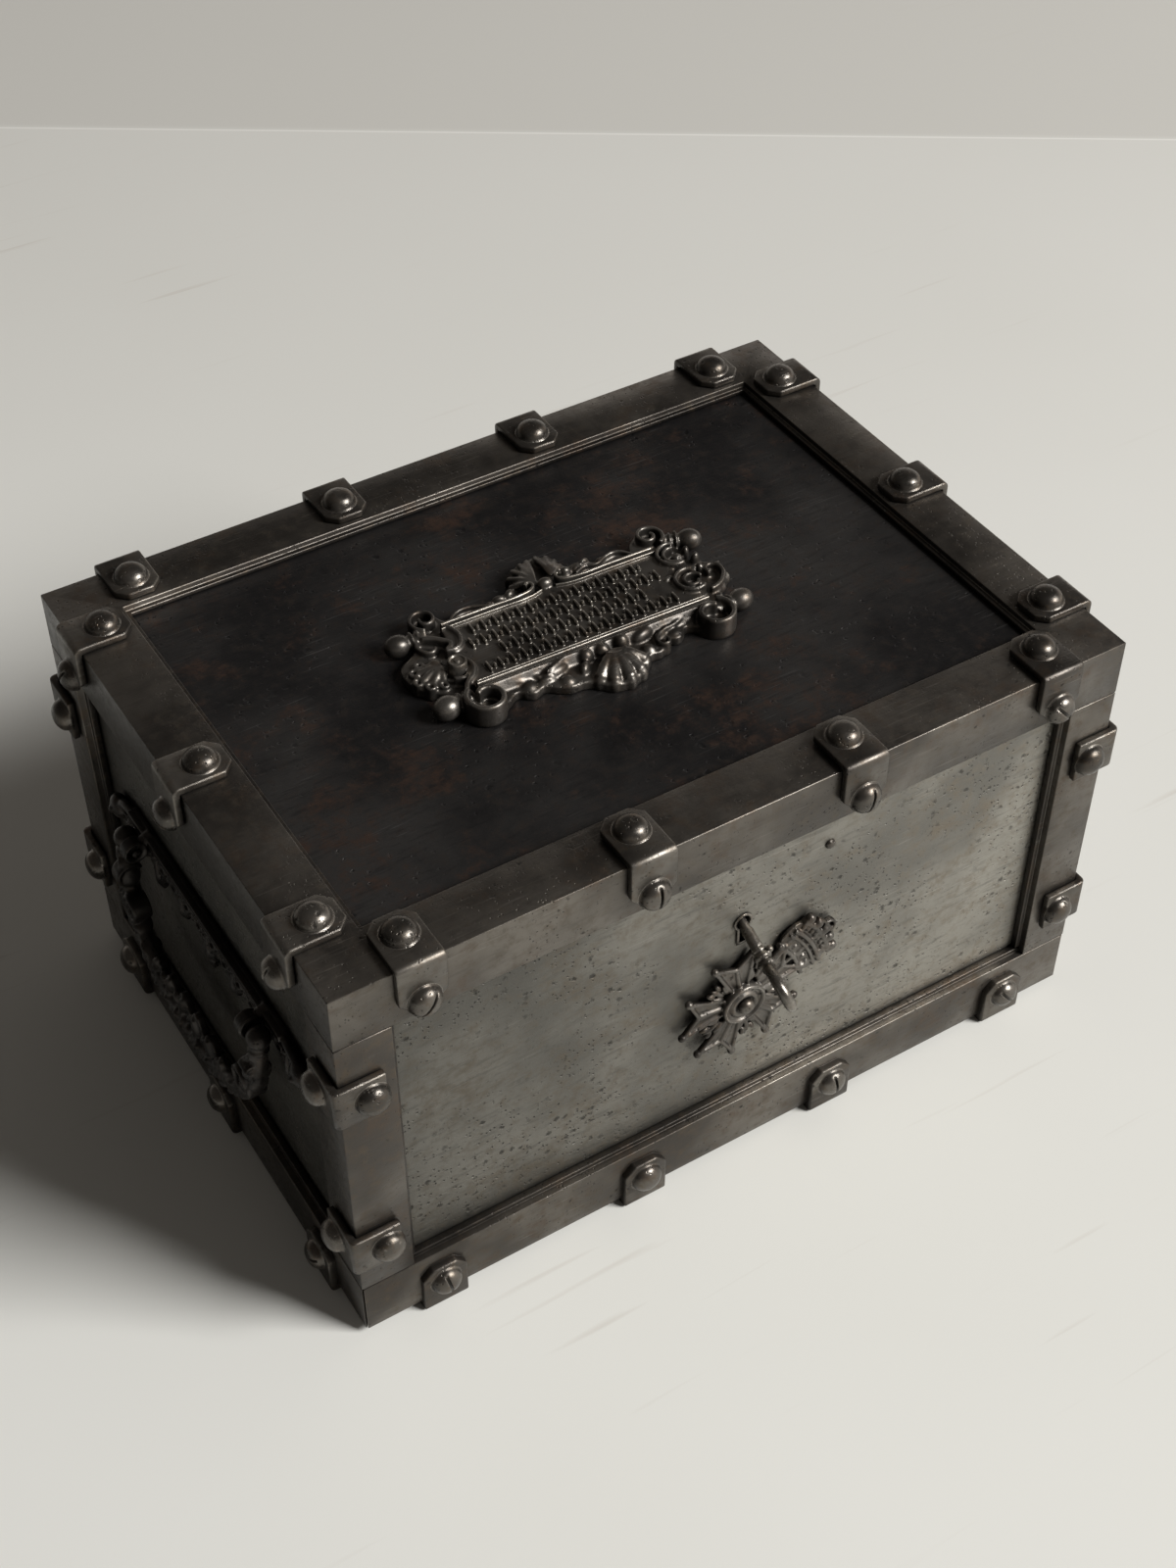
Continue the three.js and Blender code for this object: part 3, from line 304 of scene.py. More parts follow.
def ironFinish(name, look):
    material = bpy.data.materials.new(name)
    material.use_nodes = True
    tree = material.node_tree
    tree.nodes.clear()

    def add(kind, *sources, **values):
        return newNode(tree, kind, *sources, **values)

    def noise(scale, detail=4, roughness=0.55, vector=None):
        return add("ShaderNodeTexNoise", ("Vector", vector or place), Scale=scale, Detail=detail,
                   Roughness=roughness).outputs["Fac"]

    def mapped(value, low, high, toLow=0.0, toHigh=1.0, smooth=True):
        return add("ShaderNodeMapRange", ("Value", value), ("From Min", low), ("From Max", high), ("To Min", toLow),
                   ("To Max", toHigh), interpolation_type="SMOOTHSTEP" if smooth else "LINEAR").outputs["Result"]

    def reckoned(kind, a, b):
        return add("ShaderNodeMath", (0, a), (1, b), operation=kind).outputs[0]

    def times(a, b):
        return reckoned("MULTIPLY", a, b)

    def plus(a, b):
        return reckoned("ADD", a, b)

    def minus(a, b):
        return reckoned("SUBTRACT", a, b)

    def mixed(factor, a, b):
        a, b = [(*colour, 1) if isinstance(colour, tuple) else colour for colour in (a, b)]
        return add("ShaderNodeMix", (0, factor), (6, a), (7, b), data_type="RGBA").outputs[2]

    def darker(share):
        return tuple(share * c for c in look["dark"])

    # slow patches and close mottling
    place = add("ShaderNodeTexCoord").outputs["Object"]
    patches = mapped(noise(look["patch"], 3), 0.36, 0.66)
    mottle = noise(look["mottle"], 6, 0.65)
    colour = mixed(patches, look["dark"], look["light"])
    colour = mixed(mapped(mottle, 0.46, 0.74, 0, 0.75), colour, look["tint"])
    rust = times(mapped(noise(look["patch"] * 2.6, 6, 0.72), 0.50, 0.66), look["rustShare"])
    rust = times(rust, mapped(mottle, 0.38, 0.56, 0.25, 1))
    colour = mixed(rust, colour, look["rust"])
    # fine lines left by rolling
    rolled = add("ShaderNodeMapping", ("Vector", place), Rotation=(0, 0.12, 0), Scale=(95, 620, 620))
    streaks = noise(1, 5, 0.68, rolled.outputs[0])
    colour = mixed(mapped(streaks, 0.50, 0.68, 0, look["streaks"]), colour, look["dark"])
    # pits small and large, in drifts; each cell keeps or drops its pit
    drifts = mapped(noise(look["patch"] * 1.7, 3), 0.40, 0.58, 0.12, 1)
    layers = []
    for scale, share in ((look["pitScale"], look["pitShare"]), (look["pitScale"] * 2.3, look["pitShare"] - 0.12)):
        ragged = add("ShaderNodeTexNoise", ("Vector", place), Scale=scale * 1.6, Detail=2)
        wobble = add("ShaderNodeVectorMath", (0, ragged.outputs["Color"]), ("Scale", 0.7 / scale), operation="SCALE")
        uneven = add("ShaderNodeVectorMath", (0, place), (1, wobble.outputs[0]), operation="ADD")
        cells = add("ShaderNodeTexVoronoi", ("Vector", uneven.outputs[0]), Scale=scale)
        size = add("ShaderNodeSeparateColor", ("Color", cells.outputs["Color"]))
        chosen = mapped(size.outputs[0], share, share + 0.02)
        hollow = mapped(cells.outputs["Distance"], 0.10, 0.40, 1, 0)
        layers.append(times(times(hollow, chosen), drifts))
    pits = reckoned("MAXIMUM", *layers)
    colour = mixed(times(pits, 0.8), colour, darker(0.35))
    # fine rubbing marks that run aslant
    slant = add("ShaderNodeMapping", ("Vector", place), Rotation=(0.5, 0.6, 0.8), Scale=(60, 1500, 1500))
    marks = mapped(noise(1, 2, 0.6, slant.outputs[0]), 0.60, 0.72, 0, look["scratch"])
    marks = times(marks, mapped(noise(34, 2), 0.45, 0.65))
    colour = mixed(times(marks, 0.35), colour, look["worn"])
    # corners and hollows darker and rougher, edges worn bright
    rounded = add("ShaderNodeBevel", samples=6, Radius=look["wearRadius"] * mm).outputs[0]
    flat = add("ShaderNodeNewGeometry").outputs["Normal"]
    turn = add("ShaderNodeVectorMath", (0, rounded), (1, flat), operation="DOT_PRODUCT")
    bend = minus(1, turn.outputs["Value"])
    bend = plus(bend, mapped(noise(210, 4, 0.7), 0.3, 0.7, -0.10, 0.05, smooth=False))
    openness = add("ShaderNodeAmbientOcclusion", samples=6, Distance=5 * mm).outputs["AO"]
    wear = times(mapped(bend, 0.03, 0.17), mapped(openness, 0.70, 0.92))
    wear = times(wear, look["wear"])
    hollowMask = mapped(openness, 0.25, 0.75, 0.8, 0)
    colour = mixed(hollowMask, colour, darker(0.4))
    colour = mixed(wear, colour, look["worn"])
    # painted light and shade: paler towards the right, and darker on faces turned to either end
    spread = add("ShaderNodeSeparateXYZ", ("Vector", place)).outputs["X"]
    facing = add("ShaderNodeSeparateXYZ", ("Vector", flat)).outputs["X"]
    paintedLightAndShade = mapped(spread, -0.13, 0.13, look["leftShare"], look["rightShare"], False)
    paintedLightAndShade = times(paintedLightAndShade, mapped(facing, -0.95, -0.55, look["leftFaceShade"], 1))
    paintedLightAndShade = times(paintedLightAndShade, mapped(facing, 0.55, 0.95, 1, look["rightFaceShade"]))
    colour = add("ShaderNodeVectorMath", (0, colour), ("Scale", paintedLightAndShade), operation="SCALE").outputs[0]
    # gloss
    halfSpread = look["roughSpread"] / 2
    gloss = plus(mapped(mottle, 0.3, 0.7, -halfSpread, halfSpread, False), look["rough"])
    gloss = plus(gloss, times(pits, 0.2))
    gloss = plus(gloss, times(hollowMask, 0.25))
    gloss = minus(gloss, times(wear, 0.10))
    # relief
    height = times(noise(55, 2), look["swell"])
    height = plus(height, times(mottle, look["grain"]))
    height = minus(height, times(streaks, look["streaks"] * 1.4))
    height = plus(height, times(noise(900, 3, 0.6), 0.10))
    height = minus(height, times(pits, look["pitDeep"]))
    height = minus(height, times(marks, 0.04))
    bump = add("ShaderNodeBump", ("Height", height), ("Normal", rounded), Strength=1.0, Distance=0.16 * mm)
    surface = add("ShaderNodeBsdfPrincipled", ("Base Color", colour), ("Roughness", gloss),
                  ("Normal", bump.outputs[0]), Metallic=look["metallic"])
    add("ShaderNodeOutputMaterial", ("Surface", surface.outputs[0]))
    return material


plateIron = ironFinish("wallIron", plateLook)
lidIron = ironFinish("lidIron", lidLook)
strapIron = ironFinish("strapIron", strapLook)
railIron = ironFinish("railIron", dict(strapLook, wearRadius=0.35, wear=0.55))
# the ring's faces turned to the left end get a deeper painted shade
ringIron = ironFinish("ringIron", dict(strapLook, tint=(0.092, 0.079, 0.063), wearRadius=0.40, wear=0.9,
                                       leftFaceShade=0.28, rightShare=1.25))
# painted shade: a darker copy of the strap iron, laid on the stepped faces where shade falls
stepShadeIron = ironFinish("stepShadeIron", dict(strapLook, dark=(0.034, 0.031, 0.028), light=(0.085, 0.077, 0.068),
                                       wearRadius=0.2, wear=0.0))
clipIron = ironFinish("clipIron", clipLook)
headIron = ironFinish("headIron", headLook)
castIron = ironFinish("castIron", castLook)
wornIron = ironFinish("wornIron", dict(castLook, dark=(0.14, 0.13, 0.115), light=(0.27, 0.25, 0.22), rough=0.30,
                                       wear=0.0, wearRadius=0.12, grain=0.1, pitDeep=0.2))
keyIron = ironFinish("keyIron", keyLook)
# painted shade: the handles get a near-black copy of the cast iron, darker than the other castings
handleShadeIron = ironFinish("handleShadeIron", dict(castLook, dark=(0.013, 0.012, 0.011), light=(0.040, 0.036, 0.033),
                                           tint=(0.030, 0.024, 0.019), rust=(0.036, 0.026, 0.019),
                                           worn=(0.26, 0.24, 0.215), rough=0.41, wear=0.5))
print("materials made")

# plates carried over from the frame
for node in ("front_panel", "back_panel", "left_panel", "right_panel", "bottom_panel"):
    painted(nodes[node], plateIron)
painted(nodes["lid_panel"], lidIron)

# posts and lid ring, the steps along their inner edges darker, as painted shade
ironSize = {"ringWide": 18.8 * mm, "postWide": 17.2 * mm, "topSkin": 0.5 * mm, "edge": 0.3 * mm}


def pastStrap(centre, wide):
    return abs(centre.x) < halfLong - wide, abs(centre.y - midY) < halfDeep - wide


for end in ("front_left", "front_right", "back_left", "back_right"):
    post = brokenEdges("corner_post_" + end, "post_iron_" + end, "chest", railIron, "frame_iron", ironSize["edge"])
    overlaid(post, stepShadeIron, lambda c, n: any(pastStrap(c, ironSize["postWide"])))
ring = brokenEdges("lid_frame", "lid_iron_ring", "lid", ringIron, "frame_iron", ironSize["edge"])
overlaid(ring, stepShadeIron, lambda c, n: all(pastStrap(c, ironSize["ringWide"])) and c.z < lidTop - ironSize["topSkin"])
print("irons done")


# heads: a rivet and a slotted screw stand on z = 0

rivetSize = {"radius": 5.3 * mm, "height": 3.9 * mm, "flare": 0.22 * mm, "sink": 0.5 * mm, "sides": 40,
             "rings": 8, "firstRing": 4, "ringPitch": 11.5}
screwSize = dict(rivetSize, radius=5.1 * mm, height=3.85 * mm, flare=0.25 * mm, slot=0.95 * mm, deep=1.7 * mm)


def domeHead(name, size):
    outer, flare, top = size["radius"], size["flare"], size["height"]
    profile = [(outer, -size["sink"]), (outer, flare * 0.6), (outer - flare * 0.35, flare)]
    inner = outer - flare * 0.9
    rise = top - flare
    for step in range(size["rings"]):
        a = math.radians(size["firstRing"] + step * size["ringPitch"])
        profile.append((inner * math.cos(a) ** 0.88, flare + rise * math.sin(a)))
    profile.append((0, top))
    return turnedShape(name, profile, size["sides"])


def screwHead():
    head = domeHead("screwHead", screwSize)
    reach, half, top = screwSize["radius"] * 1.2, screwSize["slot"] / 2, screwSize["height"]
    cutOut(head, bar("slotCut", (-reach, -half, top - screwSize["deep"]), (reach, half, 9 * mm)))
    softEdges(head, 0.12 * mm, 1, 50)
    return painted(head, headIron)


rivetPattern = painted(domeHead("rivetHead", rivetSize), headIron)
screwPattern = screwHead()

# clips: one is bent from a bar and copied; each is modelled at the front, against y = 0

clipSize = {"half": 7.25 * mm, "thick": 2.2 * mm, "gap": 0.3 * mm, "bend": 1.9 * mm, "bendSteps": 5,
            "corner": 3.4 * mm, "edge": 0.35 * mm}
clipOut = clipSize["gap"] + clipSize["thick"]


# bends a strap over the edge where the face y = 0 meets the face z = 0
def bentStrap(name, legIn, legDown, cutIn, cutDown, gap=clipSize["gap"]):
    half, out = clipSize["half"], clipOut
    strap = bar(name, (-half, -out, gap), (half, legIn, out))
    editing(strap)
    bpy.ops.mesh.select_all(action="SELECT")
    bpy.ops.mesh.bisect(plane_co=(0, -gap, 0), plane_no=(0, 1, 0))
    pickFaces(strap, lambda c, n: n.z < -0.9 and c.y < -gap)
    extrude(z=-gap - legDown)
    # the outer edge of the bend is rounded
    pickEdges(strap, lambda a, b: min(a.z, b.z) > out - hair and max(a.y, b.y) < -out + hair)
    bpy.ops.mesh.bevel(offset=clipSize["bend"], segments=clipSize["bendSteps"], affect="EDGES")
    done()
    # the corners of its free ends are cut off
    ends = []
    if cutIn:
        ends.append(lambda a, b: min(a.y, b.y) > legIn - hair and abs(a.x - b.x) < hair)
    if cutDown:
        ends.append(lambda a, b: max(a.z, b.z) < -legDown + hair and abs(a.x - b.x) < hair)
    for end in ends:
        editing(strap)
        pickEdges(strap, end)
        bpy.ops.mesh.bevel(offset=clipSize["corner"], segments=1, affect="EDGES")
        done()
    facesOut(strap)
    softEdges(strap, clipSize["edge"])
    return painted(strap, clipIron)


# a strap with its heads; each head has a pattern, a place, a tilt and the turn of its slot
def fastened(name, strap, heads):
    parts = [copied(strap, name)]
    for pattern, place, tilt, turn in heads:
        head = placed(copied(pattern, "head"), rotation=(0, 0, math.radians(turn)))
        parts.append(placed(head, place, (math.radians(tilt), 0, 0)))
    return joined(name, parts)


# the four sides of the box: how far each is turned from the front, half its length, its row of clips
sides = {"front": (0, halfLong, 4), "right": (90, halfDeep, 3), "back": (180, halfLong, 4),
         "left": (-90, halfDeep, 3)}


def rowAlong(side, fromEnd=25.5 * mm):
    half, count = sides[side][1:]
    first = half - fromEnd
    return [first - 2 * first * i / (count - 1) for i in range(count)]


# turns a piece modelled at the front to one side of the box, so far along and so high up
def atSide(piece, side, along, height):
    turn = math.radians(sides[side][0])
    reach = halfDeep if side in ("front", "back") else halfLong
    spot = Matrix.Rotation(turn, 3, "Z") @ Vector((along, -reach, 0))
    return placed(piece, (spot.x, spot.y + midY, height), (0, 0, turn))


lidClip = {"legIn": 17 * mm, "legDown": 14 * mm, "rivetIn": 9.3 * mm, "screwDown": 11.4 * mm}
lidSlots = {"front": (-47, 73, 85, 50), "back": (20, 75, -40, 10), "left": (75, -30, 60), "right": (-10, 50, 30)}
lidStrap = bentStrap("lidStrap", lidClip["legIn"], lidClip["legDown"], True, True)
for side in sides:
    for i, along in enumerate(rowAlong(side)):
        clip = fastened("lid_strap_%s_%d" % (side, i + 1), lidStrap, [
            (rivetPattern, (0, lidClip["rivetIn"], clipOut), 0, 0),
            (screwPattern, (0, -clipOut, -lidClip["screwDown"]), 90, lidSlots[side][i]),
        ])
        atSide(clip, side, along, lidTop)
        kept(clip, "lid", None, "clip_iron", "lid_clip_%s_%d" % (side, i + 1))
print("lid clips done")

# clips round the posts, modelled round the corner x = 0, y = 0 of the front right post
postClip = {"leg": 13 * mm, "rivetIn": 8.5 * mm, "heights": {"lower": 42 * mm, "upper": 108.5 * mm}}
postStrap = bentStrap("postStrap", postClip["leg"], postClip["leg"], False, False)
placed(postStrap, rotation=(0, math.radians(90), 0))
corners = {"front_right": (1, -1), "back_right": (1, 1), "back_left": (-1, 1), "front_left": (-1, -1)}
for i, (corner, (signX, signY)) in enumerate(corners.items()):
    for level, height in postClip["heights"].items():
        strap = fastened("post_strap_%s_%s" % (corner, level), postStrap, [
            (rivetPattern, (-postClip["rivetIn"], -clipOut, 0), 90, 0),
        ])
        outerHead = placed(placed(copied(rivetPattern, "head"), rotation=(0, math.radians(90), 0)),
                           (clipOut, postClip["rivetIn"], 0))
        strap = joined(strap.name, [strap, outerHead])
        placed(strap, (signX * halfLong, midY + signY * halfDeep, height), (0, 0, math.radians(90 * i)))
        kept(strap, "chest", None, "clip_iron", "post_clip_%s_%s" % (corner, level))
print("post clips done")


# base rails: each is an angle iron with a step behind its face, drawn at the front and mitred

railSize = {"high": 20 * mm, "thick": 2.4 * mm, "step": 2.2 * mm, "stepUp": 1.6 * mm, "flange": 14 * mm,
            "foot": 2.5 * mm, "mitreGap": 0.3 * mm, "edge": 0.28 * mm}


def angleRail(side):
    look = railSize
    half = sides[side][1]
    low, thick = look["foot"], look["thick"]
    middle = low + look["high"] / 2
    rail = bar("rail_iron_" + side, (-half, 0, low), (half, thick, low + look["high"]))
    editing(rail)
    bpy.ops.mesh.select_all(action="SELECT")
    bpy.ops.mesh.bisect(plane_co=(0, 0, low + thick), plane_no=(0, 0, 1))
    pickFaces(rail, lambda c, n: n.y > 0.9 and c.z < low + thick)
    extrude(y=look["flange"] - thick)
    pickFaces(rail, lambda c, n: n.y > 0.9 and c.z > low + thick)
    extrude(y=look["step"])
    pickFaces(rail, lambda c, n: n.z > 0.9 and c.y > thick and c.z > middle)
    extrude(z=look["stepUp"])
    for end in (-1, 1):
        pickFaces(rail, lambda c, n: True)
        bpy.ops.mesh.bisect(plane_co=(end * (half - look["mitreGap"]), 0, 0), plane_no=(end, 1, 0), use_fill=True,
                            clear_outer=True)
    done()
    facesOut(rail)
    softEdges(rail, look["edge"])
    painted(rail, railIron)
    # the step behind the rail's face gets the painted shade
    overlaid(rail, stepShadeIron, lambda c, n: c.y > thick * 0.95 and c.z > middle)
    return atSide(rail, side, 0, 0)


# strap feet: bent under the rail, their upper corners cut off; all but one of each row have a screw
footSize = {"in": 13 * mm, "up": 15.5 * mm, "screwUp": 9 * mm}
footSlots = {"front": (-52, 94, None, 100), "back": (40, 5, None, 80), "left": (25, -50, None),
             "right": (60, 10, None)}
footStrap = bentStrap("footStrap", footSize["in"], footSize["up"], False, True, gap=0)
editing(footStrap)
bpy.ops.mesh.select_all(action="SELECT")
bpy.ops.transform.resize(value=(1, 1, -1), center_override=(0, 0, 0))
done()
facesOut(footStrap)
for side in sides:
    rail = [angleRail(side)]
    for i, along in enumerate(rowAlong(side)):
        slot = footSlots[side][i]
        pattern = rivetPattern if slot is None else screwPattern
        foot = fastened("strap_foot_%s_%d" % (side, i + 1), footStrap, [
            (pattern, (0, -clipSize["thick"], footSize["screwUp"]), 90, slot or 0),
        ])
        rail.append(atSide(foot, side, along, railSize["foot"]))
    kept(joined("rail_iron_" + side, rail), "chest", None, "frame_iron", "base_rail_" + side)
putAway(rivetPattern, screwPattern, lidStrap, postStrap, footStrap)
print("rails and feet done")


# castings: shapes drawn in millimetres on a flat board (u right, v up, h outwards), then cast in one

# a rounded lump
def lump(u, v, h, long, wide, high, turn=0, segments=20):
    bpy.ops.object.select_all(action="DESELECT")
    bpy.ops.mesh.primitive_uv_sphere_add(segments=segments, ring_count=segments // 2, radius=1)
    piece = bpy.context.active_object
    piece.scale = (long * mm, wide * mm, high * mm)
    return placed(piece, (u * mm, v * mm, h * mm), (0, 0, math.radians(turn)))


def lumps(*spots):
    return [lump(*spot) for spot in spots]


# an open or closed line through points, with automatic handles
def drawnLine(points, closed=False):
    bpy.ops.object.select_all(action="DESELECT")
    bpy.ops.curve.primitive_bezier_curve_add()
    line = bpy.context.active_object
    line.data.splines.clear()
    spline = line.data.splines.new("BEZIER")
    spline.bezier_points.add(len(points) - 1)
    for knot, point in zip(spline.bezier_points, points):
        knot.co = [c * mm for c in (*point, 0)][:3]
        knot.handle_left_type = knot.handle_right_type = "AUTO"
    spline.use_cyclic_u = closed
    return line


def meshed(line):
    only(line)
    bpy.ops.object.convert(target="MESH")
    return bpy.context.active_object


# a band on edge that follows a line on the board
def ribbon(points, low, high, thick, resolution=8):
    line = drawnLine(points)
    line.data.dimensions = "2D"
    line.data.resolution_u = resolution
    line.data.extrude = (high - low - thick) / 2 * mm
    line.data.bevel_depth = thick / 2 * mm
    line.data.bevel_resolution = 2
    line.data.use_fill_caps = True
    return placed(meshed(line), (0, 0, (high + low) / 2 * mm))


# a round bar through points in space, thicker or thinner at each
def rod(points, radii, resolution=8, sides=3):
    line = drawnLine(points)
    line.data.dimensions = "3D"
    line.data.resolution_u = resolution
    for knot, radius in zip(line.data.splines[0].bezier_points, radii):
        knot.radius = radius
    line.data.bevel_depth = mm
    line.data.bevel_resolution = sides
    line.data.use_fill_caps = True
    return meshed(line)


# a flat sheet cut to a smooth closed outline
def cutSheet(points, low, high, resolution=6, sharp=False):
    line = drawnLine(points, closed=True)
    if sharp:
        for knot in line.data.splines[0].bezier_points:
            knot.handle_left_type = knot.handle_right_type = "VECTOR"
    line.data.dimensions = "2D"
    line.data.fill_mode = "BOTH"
    line.data.resolution_u = 1 if sharp else resolution
    line.data.extrude = (high - low) / 2 * mm
    return placed(meshed(line), (0, 0, (high + low) / 2 * mm))


def spiral(u, v, outer, inner, start, turns, steps=14):
    count = int(steps * abs(turns)) + 1
    points = []
    for i in range(count):
        share = i / (count - 1)
        radius = outer + (inner - outer) * share
        angle = math.radians(start + 360 * turns * share)
        points.append((u + radius * math.cos(angle), v + radius * math.sin(angle)))
    return points


# everything drawn becomes one casting
def cast(name, parts, look):
    piece = joined(name, parts)
    finished(piece, "REMESH", mode="VOXEL", voxel_size=look["voxel"] * mm)
    finished(piece, "SMOOTH", factor=0.5, iterations=1)
    finished(piece, "DECIMATE", ratio=look["keepShare"])
    only(piece)
    bpy.ops.object.shade_smooth()
    return piece


# the ornamental plate on the lid: lines run to the far side as +v

plateOnLid = {
    "centre": (-2.0, 0.0), "turn": -1.8, "foot": -0.28, "floor": 2.9, "voxel": 0.42, "keepShare": 0.55,
    "halfTop": 36.0, "halfFoot": 39.0, "halfHigh": 14.4, "field": 5.4, "rim": 7.0, "lowRim": 6.45,
    "rows": (8.6, 2.9, -2.9, -8.7), "rowHalves": (28.5, 31.5, 24.0, 32.0), "pitch": 1.95,
    "reel": 4.3, "reelWide": 1.0, "reelHigh": 1.9, "slope": 2.6, "slopeTilt": 57, "bossAt": (-39.6, -3.9),
}


# a ball on a short neck with two discs; out points away from the plate
def cornerKnob(u, v, outU, outV, radius):
    way = math.degrees(math.atan2(outV, outU))
    parts = [lump(u, v, radius - 0.1, radius * 1.24, radius * 1.04, radius * 1.02, way, 28)]
    length = math.hypot(outU, outV)
    for back, disc in ((4.3, 3.3), (6.2, 2.9)):
        parts.append(lump(u - outU / length * back, v - outV / length * back, 3.2, 0.75, disc, disc, way))
    inner = (u - outU / length * 9, v - outV / length * 9, 3.0)
    parts.append(rod([(u, v, 3.2), inner], [2.0, 2.3]))
    return parts


# petals that fan out from one base, each with a rounded tip
def palmette(base, tips, wide, lowTip, highBase):
    parts = []
    for tip in tips:
        du, dv = tip[0] - base[0], tip[1] - base[1]
        rise = highBase - lowTip
        middle = (base[0] + du * 0.45, base[1] + dv * 0.45, highBase - rise * 0.35)
        parts.append(rod([(*base, highBase - wide * 0.6), middle, (*tip, lowTip)],
                         [wide * 0.45, wide * 0.8, wide]))
        parts.append(lump(tip[0], tip[1], lowTip * 0.5, wide, wide, lowTip * 0.5 + wide * 0.7,
                          segments=16))
    return parts


def lidCasting():
    look = plateOnLid
    foot, floor, rim = look["foot"], look["floor"], look["rim"]
    top, low, high = look["halfTop"], look["halfFoot"], look["halfHigh"]
    edge = [
        (-42, 17), (-40, 24), (-35, 24), (-31, 18.5), (-25, 20.5), (-19, 18.5), (-13, 21.3), (-9, 21.5), (-7, 25),
        (-4.6, 29.2), (0.5, 31.4), (5.5, 31.8), (9.5, 29.2), (10.8, 24), (16.5, 23.6), (20.5, 21), (25, 22.4),
        (30, 18.6), (34.5, 24), (40, 26), (43.5, 21.5), (45.5, 15), (44.6, 9), (47.6, 6), (52, 1.6), (51.8, -4),
        (47.4, -8.4), (43.6, -12), (41.4, -20), (36.6, -24.6), (31.6, -21), (28.5, -18.6), (24, -21.8), (20, -20.6),
        (17, -24.4), (12.5, -24.6), (10.6, -27), (6.6, -30), (1.6, -31.4), (-3.4, -30.2), (-7.8, -26),
        (-10.2, -25.2), (-14, -25), (-17.4, -23), (-20.4, -21), (-24.4, -22), (-28.2, -19.4), (-32, -21.4),
        (-38, -24.6), (-43, -20), (-43.6, -13), (-48.4, -8), (-52.4, -4), (-53.6, 1), (-52.6, 6.4),
        (-48.2, 9.4), (-44.4, 12),
    ]
    field = [(-low, -high), (low, -high), (top, high), (-top, high)]
    parts = [cutSheet(edge[::-1], foot, floor), cutSheet(field, foot, look["field"], sharp=True)]

    # bands stand on the lid; each is its height, its thickness, and its points or the figures of a spiral
    def bands(*rows):
        for height, thick, *line in rows:
            points = spiral(*line) if isinstance(line[0], (int, float)) else line
            parts.append(ribbon(points, foot, height, thick))

    # corner knobs on their necks
    for knob in ((-49.4, 15.0, -1, 0.05, 3.4), (50.4, 15.8, 1, -0.35, 3.3), (-49.2, -16.0, -1, -0.1, 3.6),
                 (48.6, -16.4, 1, 0.1, 3.3)):
        parts += cornerKnob(*knob)
    # volutes at the corners, hollow at their centres
    bands((7.5, 1.7, -38.4, -20.2, 6.4, 3.1, 125, 1.02), (7.3, 1.7, 36.9, -20.4, 6.4, 3.1, 55, -1.02),
          (6.4, 1.2, -38.6, 19.4, 4.9, 1.2, 250, -1.3), (6.2, 1.2, 38.8, 21.0, 4.9, 1.2, 290, 1.3))
    parts += lumps((-38.4, -20.2, 0, 5.6, 5.6, 1.8), (36.9, -20.4, 0, 5.6, 5.6, 1.8), (-38.6, 19.4, 0, 4.4, 4.4, 3.2),
                   (38.8, 21.0, 0, 4.4, 4.4, 3.2))
    # left end: leaf scroll, boss, fan of petals
    bands((6.8, 1.5, (-35.5, 14.5), (-33.2, 10.5), (-33.2, 6.2), (-35.8, 3.2), (-39.5, 3.4)),
          (6.2, 1.5, (-42.8, 12.6), (-38.6, 9.6), (-36.4, 6.2), (-38.6, 4.4)),
          (5.2, 1.2, (-44.4, 13.6), (-45.2, 9), (-42.4, 6.4), (-40.4, 8)),
          (6.8, 1.5, (-37.2, -1), (-35.6, -5), (-37.1, -9), (-40.6, -12), (-42.4, -15.4)),
          (6.0, 1.2, (-36.6, -5.5), (-39.4, -8.6), (-42.6, -7.6)))
    parts += lumps((*look["bossAt"], 3.6, 3.1, 3.1, 3.4), (-44.2, 1.4, 3.0, 2.5, 2.3, 2.9))
    for angle, reach, wide in ((138, 5.0, 1.5), (166, 6.2, 1.7), (196, 6.8, 1.8), (226, 6.4, 1.7), (256, 5.6, 1.5)):
        a = math.radians(angle)
        u, v = -43.8 + reach * math.cos(a), -0.8 + reach * math.sin(a)
        parts += palmette((-42.8, -0.6), [(u, v)], wide * 0.8, 3.2, 5.4)
        bands((4.6, 0.9, u + 1.2 * math.cos(a), v + 1.2 * math.sin(a), wide, wide * 0.5, angle - 150, 0.85, 10))
    # right end: two scrolls, knots and a hooked leaf
    bands((7.2, 1.1, 40.2, 7.9, 5.9, 4.2, 62, 0.62), (6.9, 1.0, 40.4, 7.9, 3.9, 2.9, 70, 0.60))
    parts += lumps((41.2, 7.8, 3.4, 2.2, 2.2, 3.0))
    bands((7.2, 1.2, 38.8, -4.6, 5.4, 4.4, 45, 0.72), (6.6, 1.1, 39.2, -4.4, 3.4, 1.6, 10, 0.95))
    parts += lumps((39.2, -4.6, 2.6, 2.0, 2.0, 2.6))
    bands((5.4, 1.3, (42.6, -9.4), (45.6, -8.6), (48.6, -6.4), (50.6, -2.6), (49.4, 0.6), (46.4, 0.2), (46.2, -2.8)))
    parts += lumps((46.4, 5.8, 2.6, 1.9, 1.5, 4.0, 30), (45.0, 1.2, 3.0, 1.7, 1.4, 3.2, 80),
                   (46.2, 11.0, 2.4, 1.8, 1.3, 3.0, 60), (33.4, 0.2, 5.4, 1.8, 0.8, 0.9, 28),
                   (51.0, 0.6, 2.4, 1.8, 1.0, 2.6, 20), (50.8, -4.4, 2.0, 1.6, 1.1, 2.4, -50),
                   (47.2, -7.6, 2.0, 1.8, 1.1, 2.2, -20), (44.0, -12.2, 2.0, 1.7, 1.2, 2.6, 70))
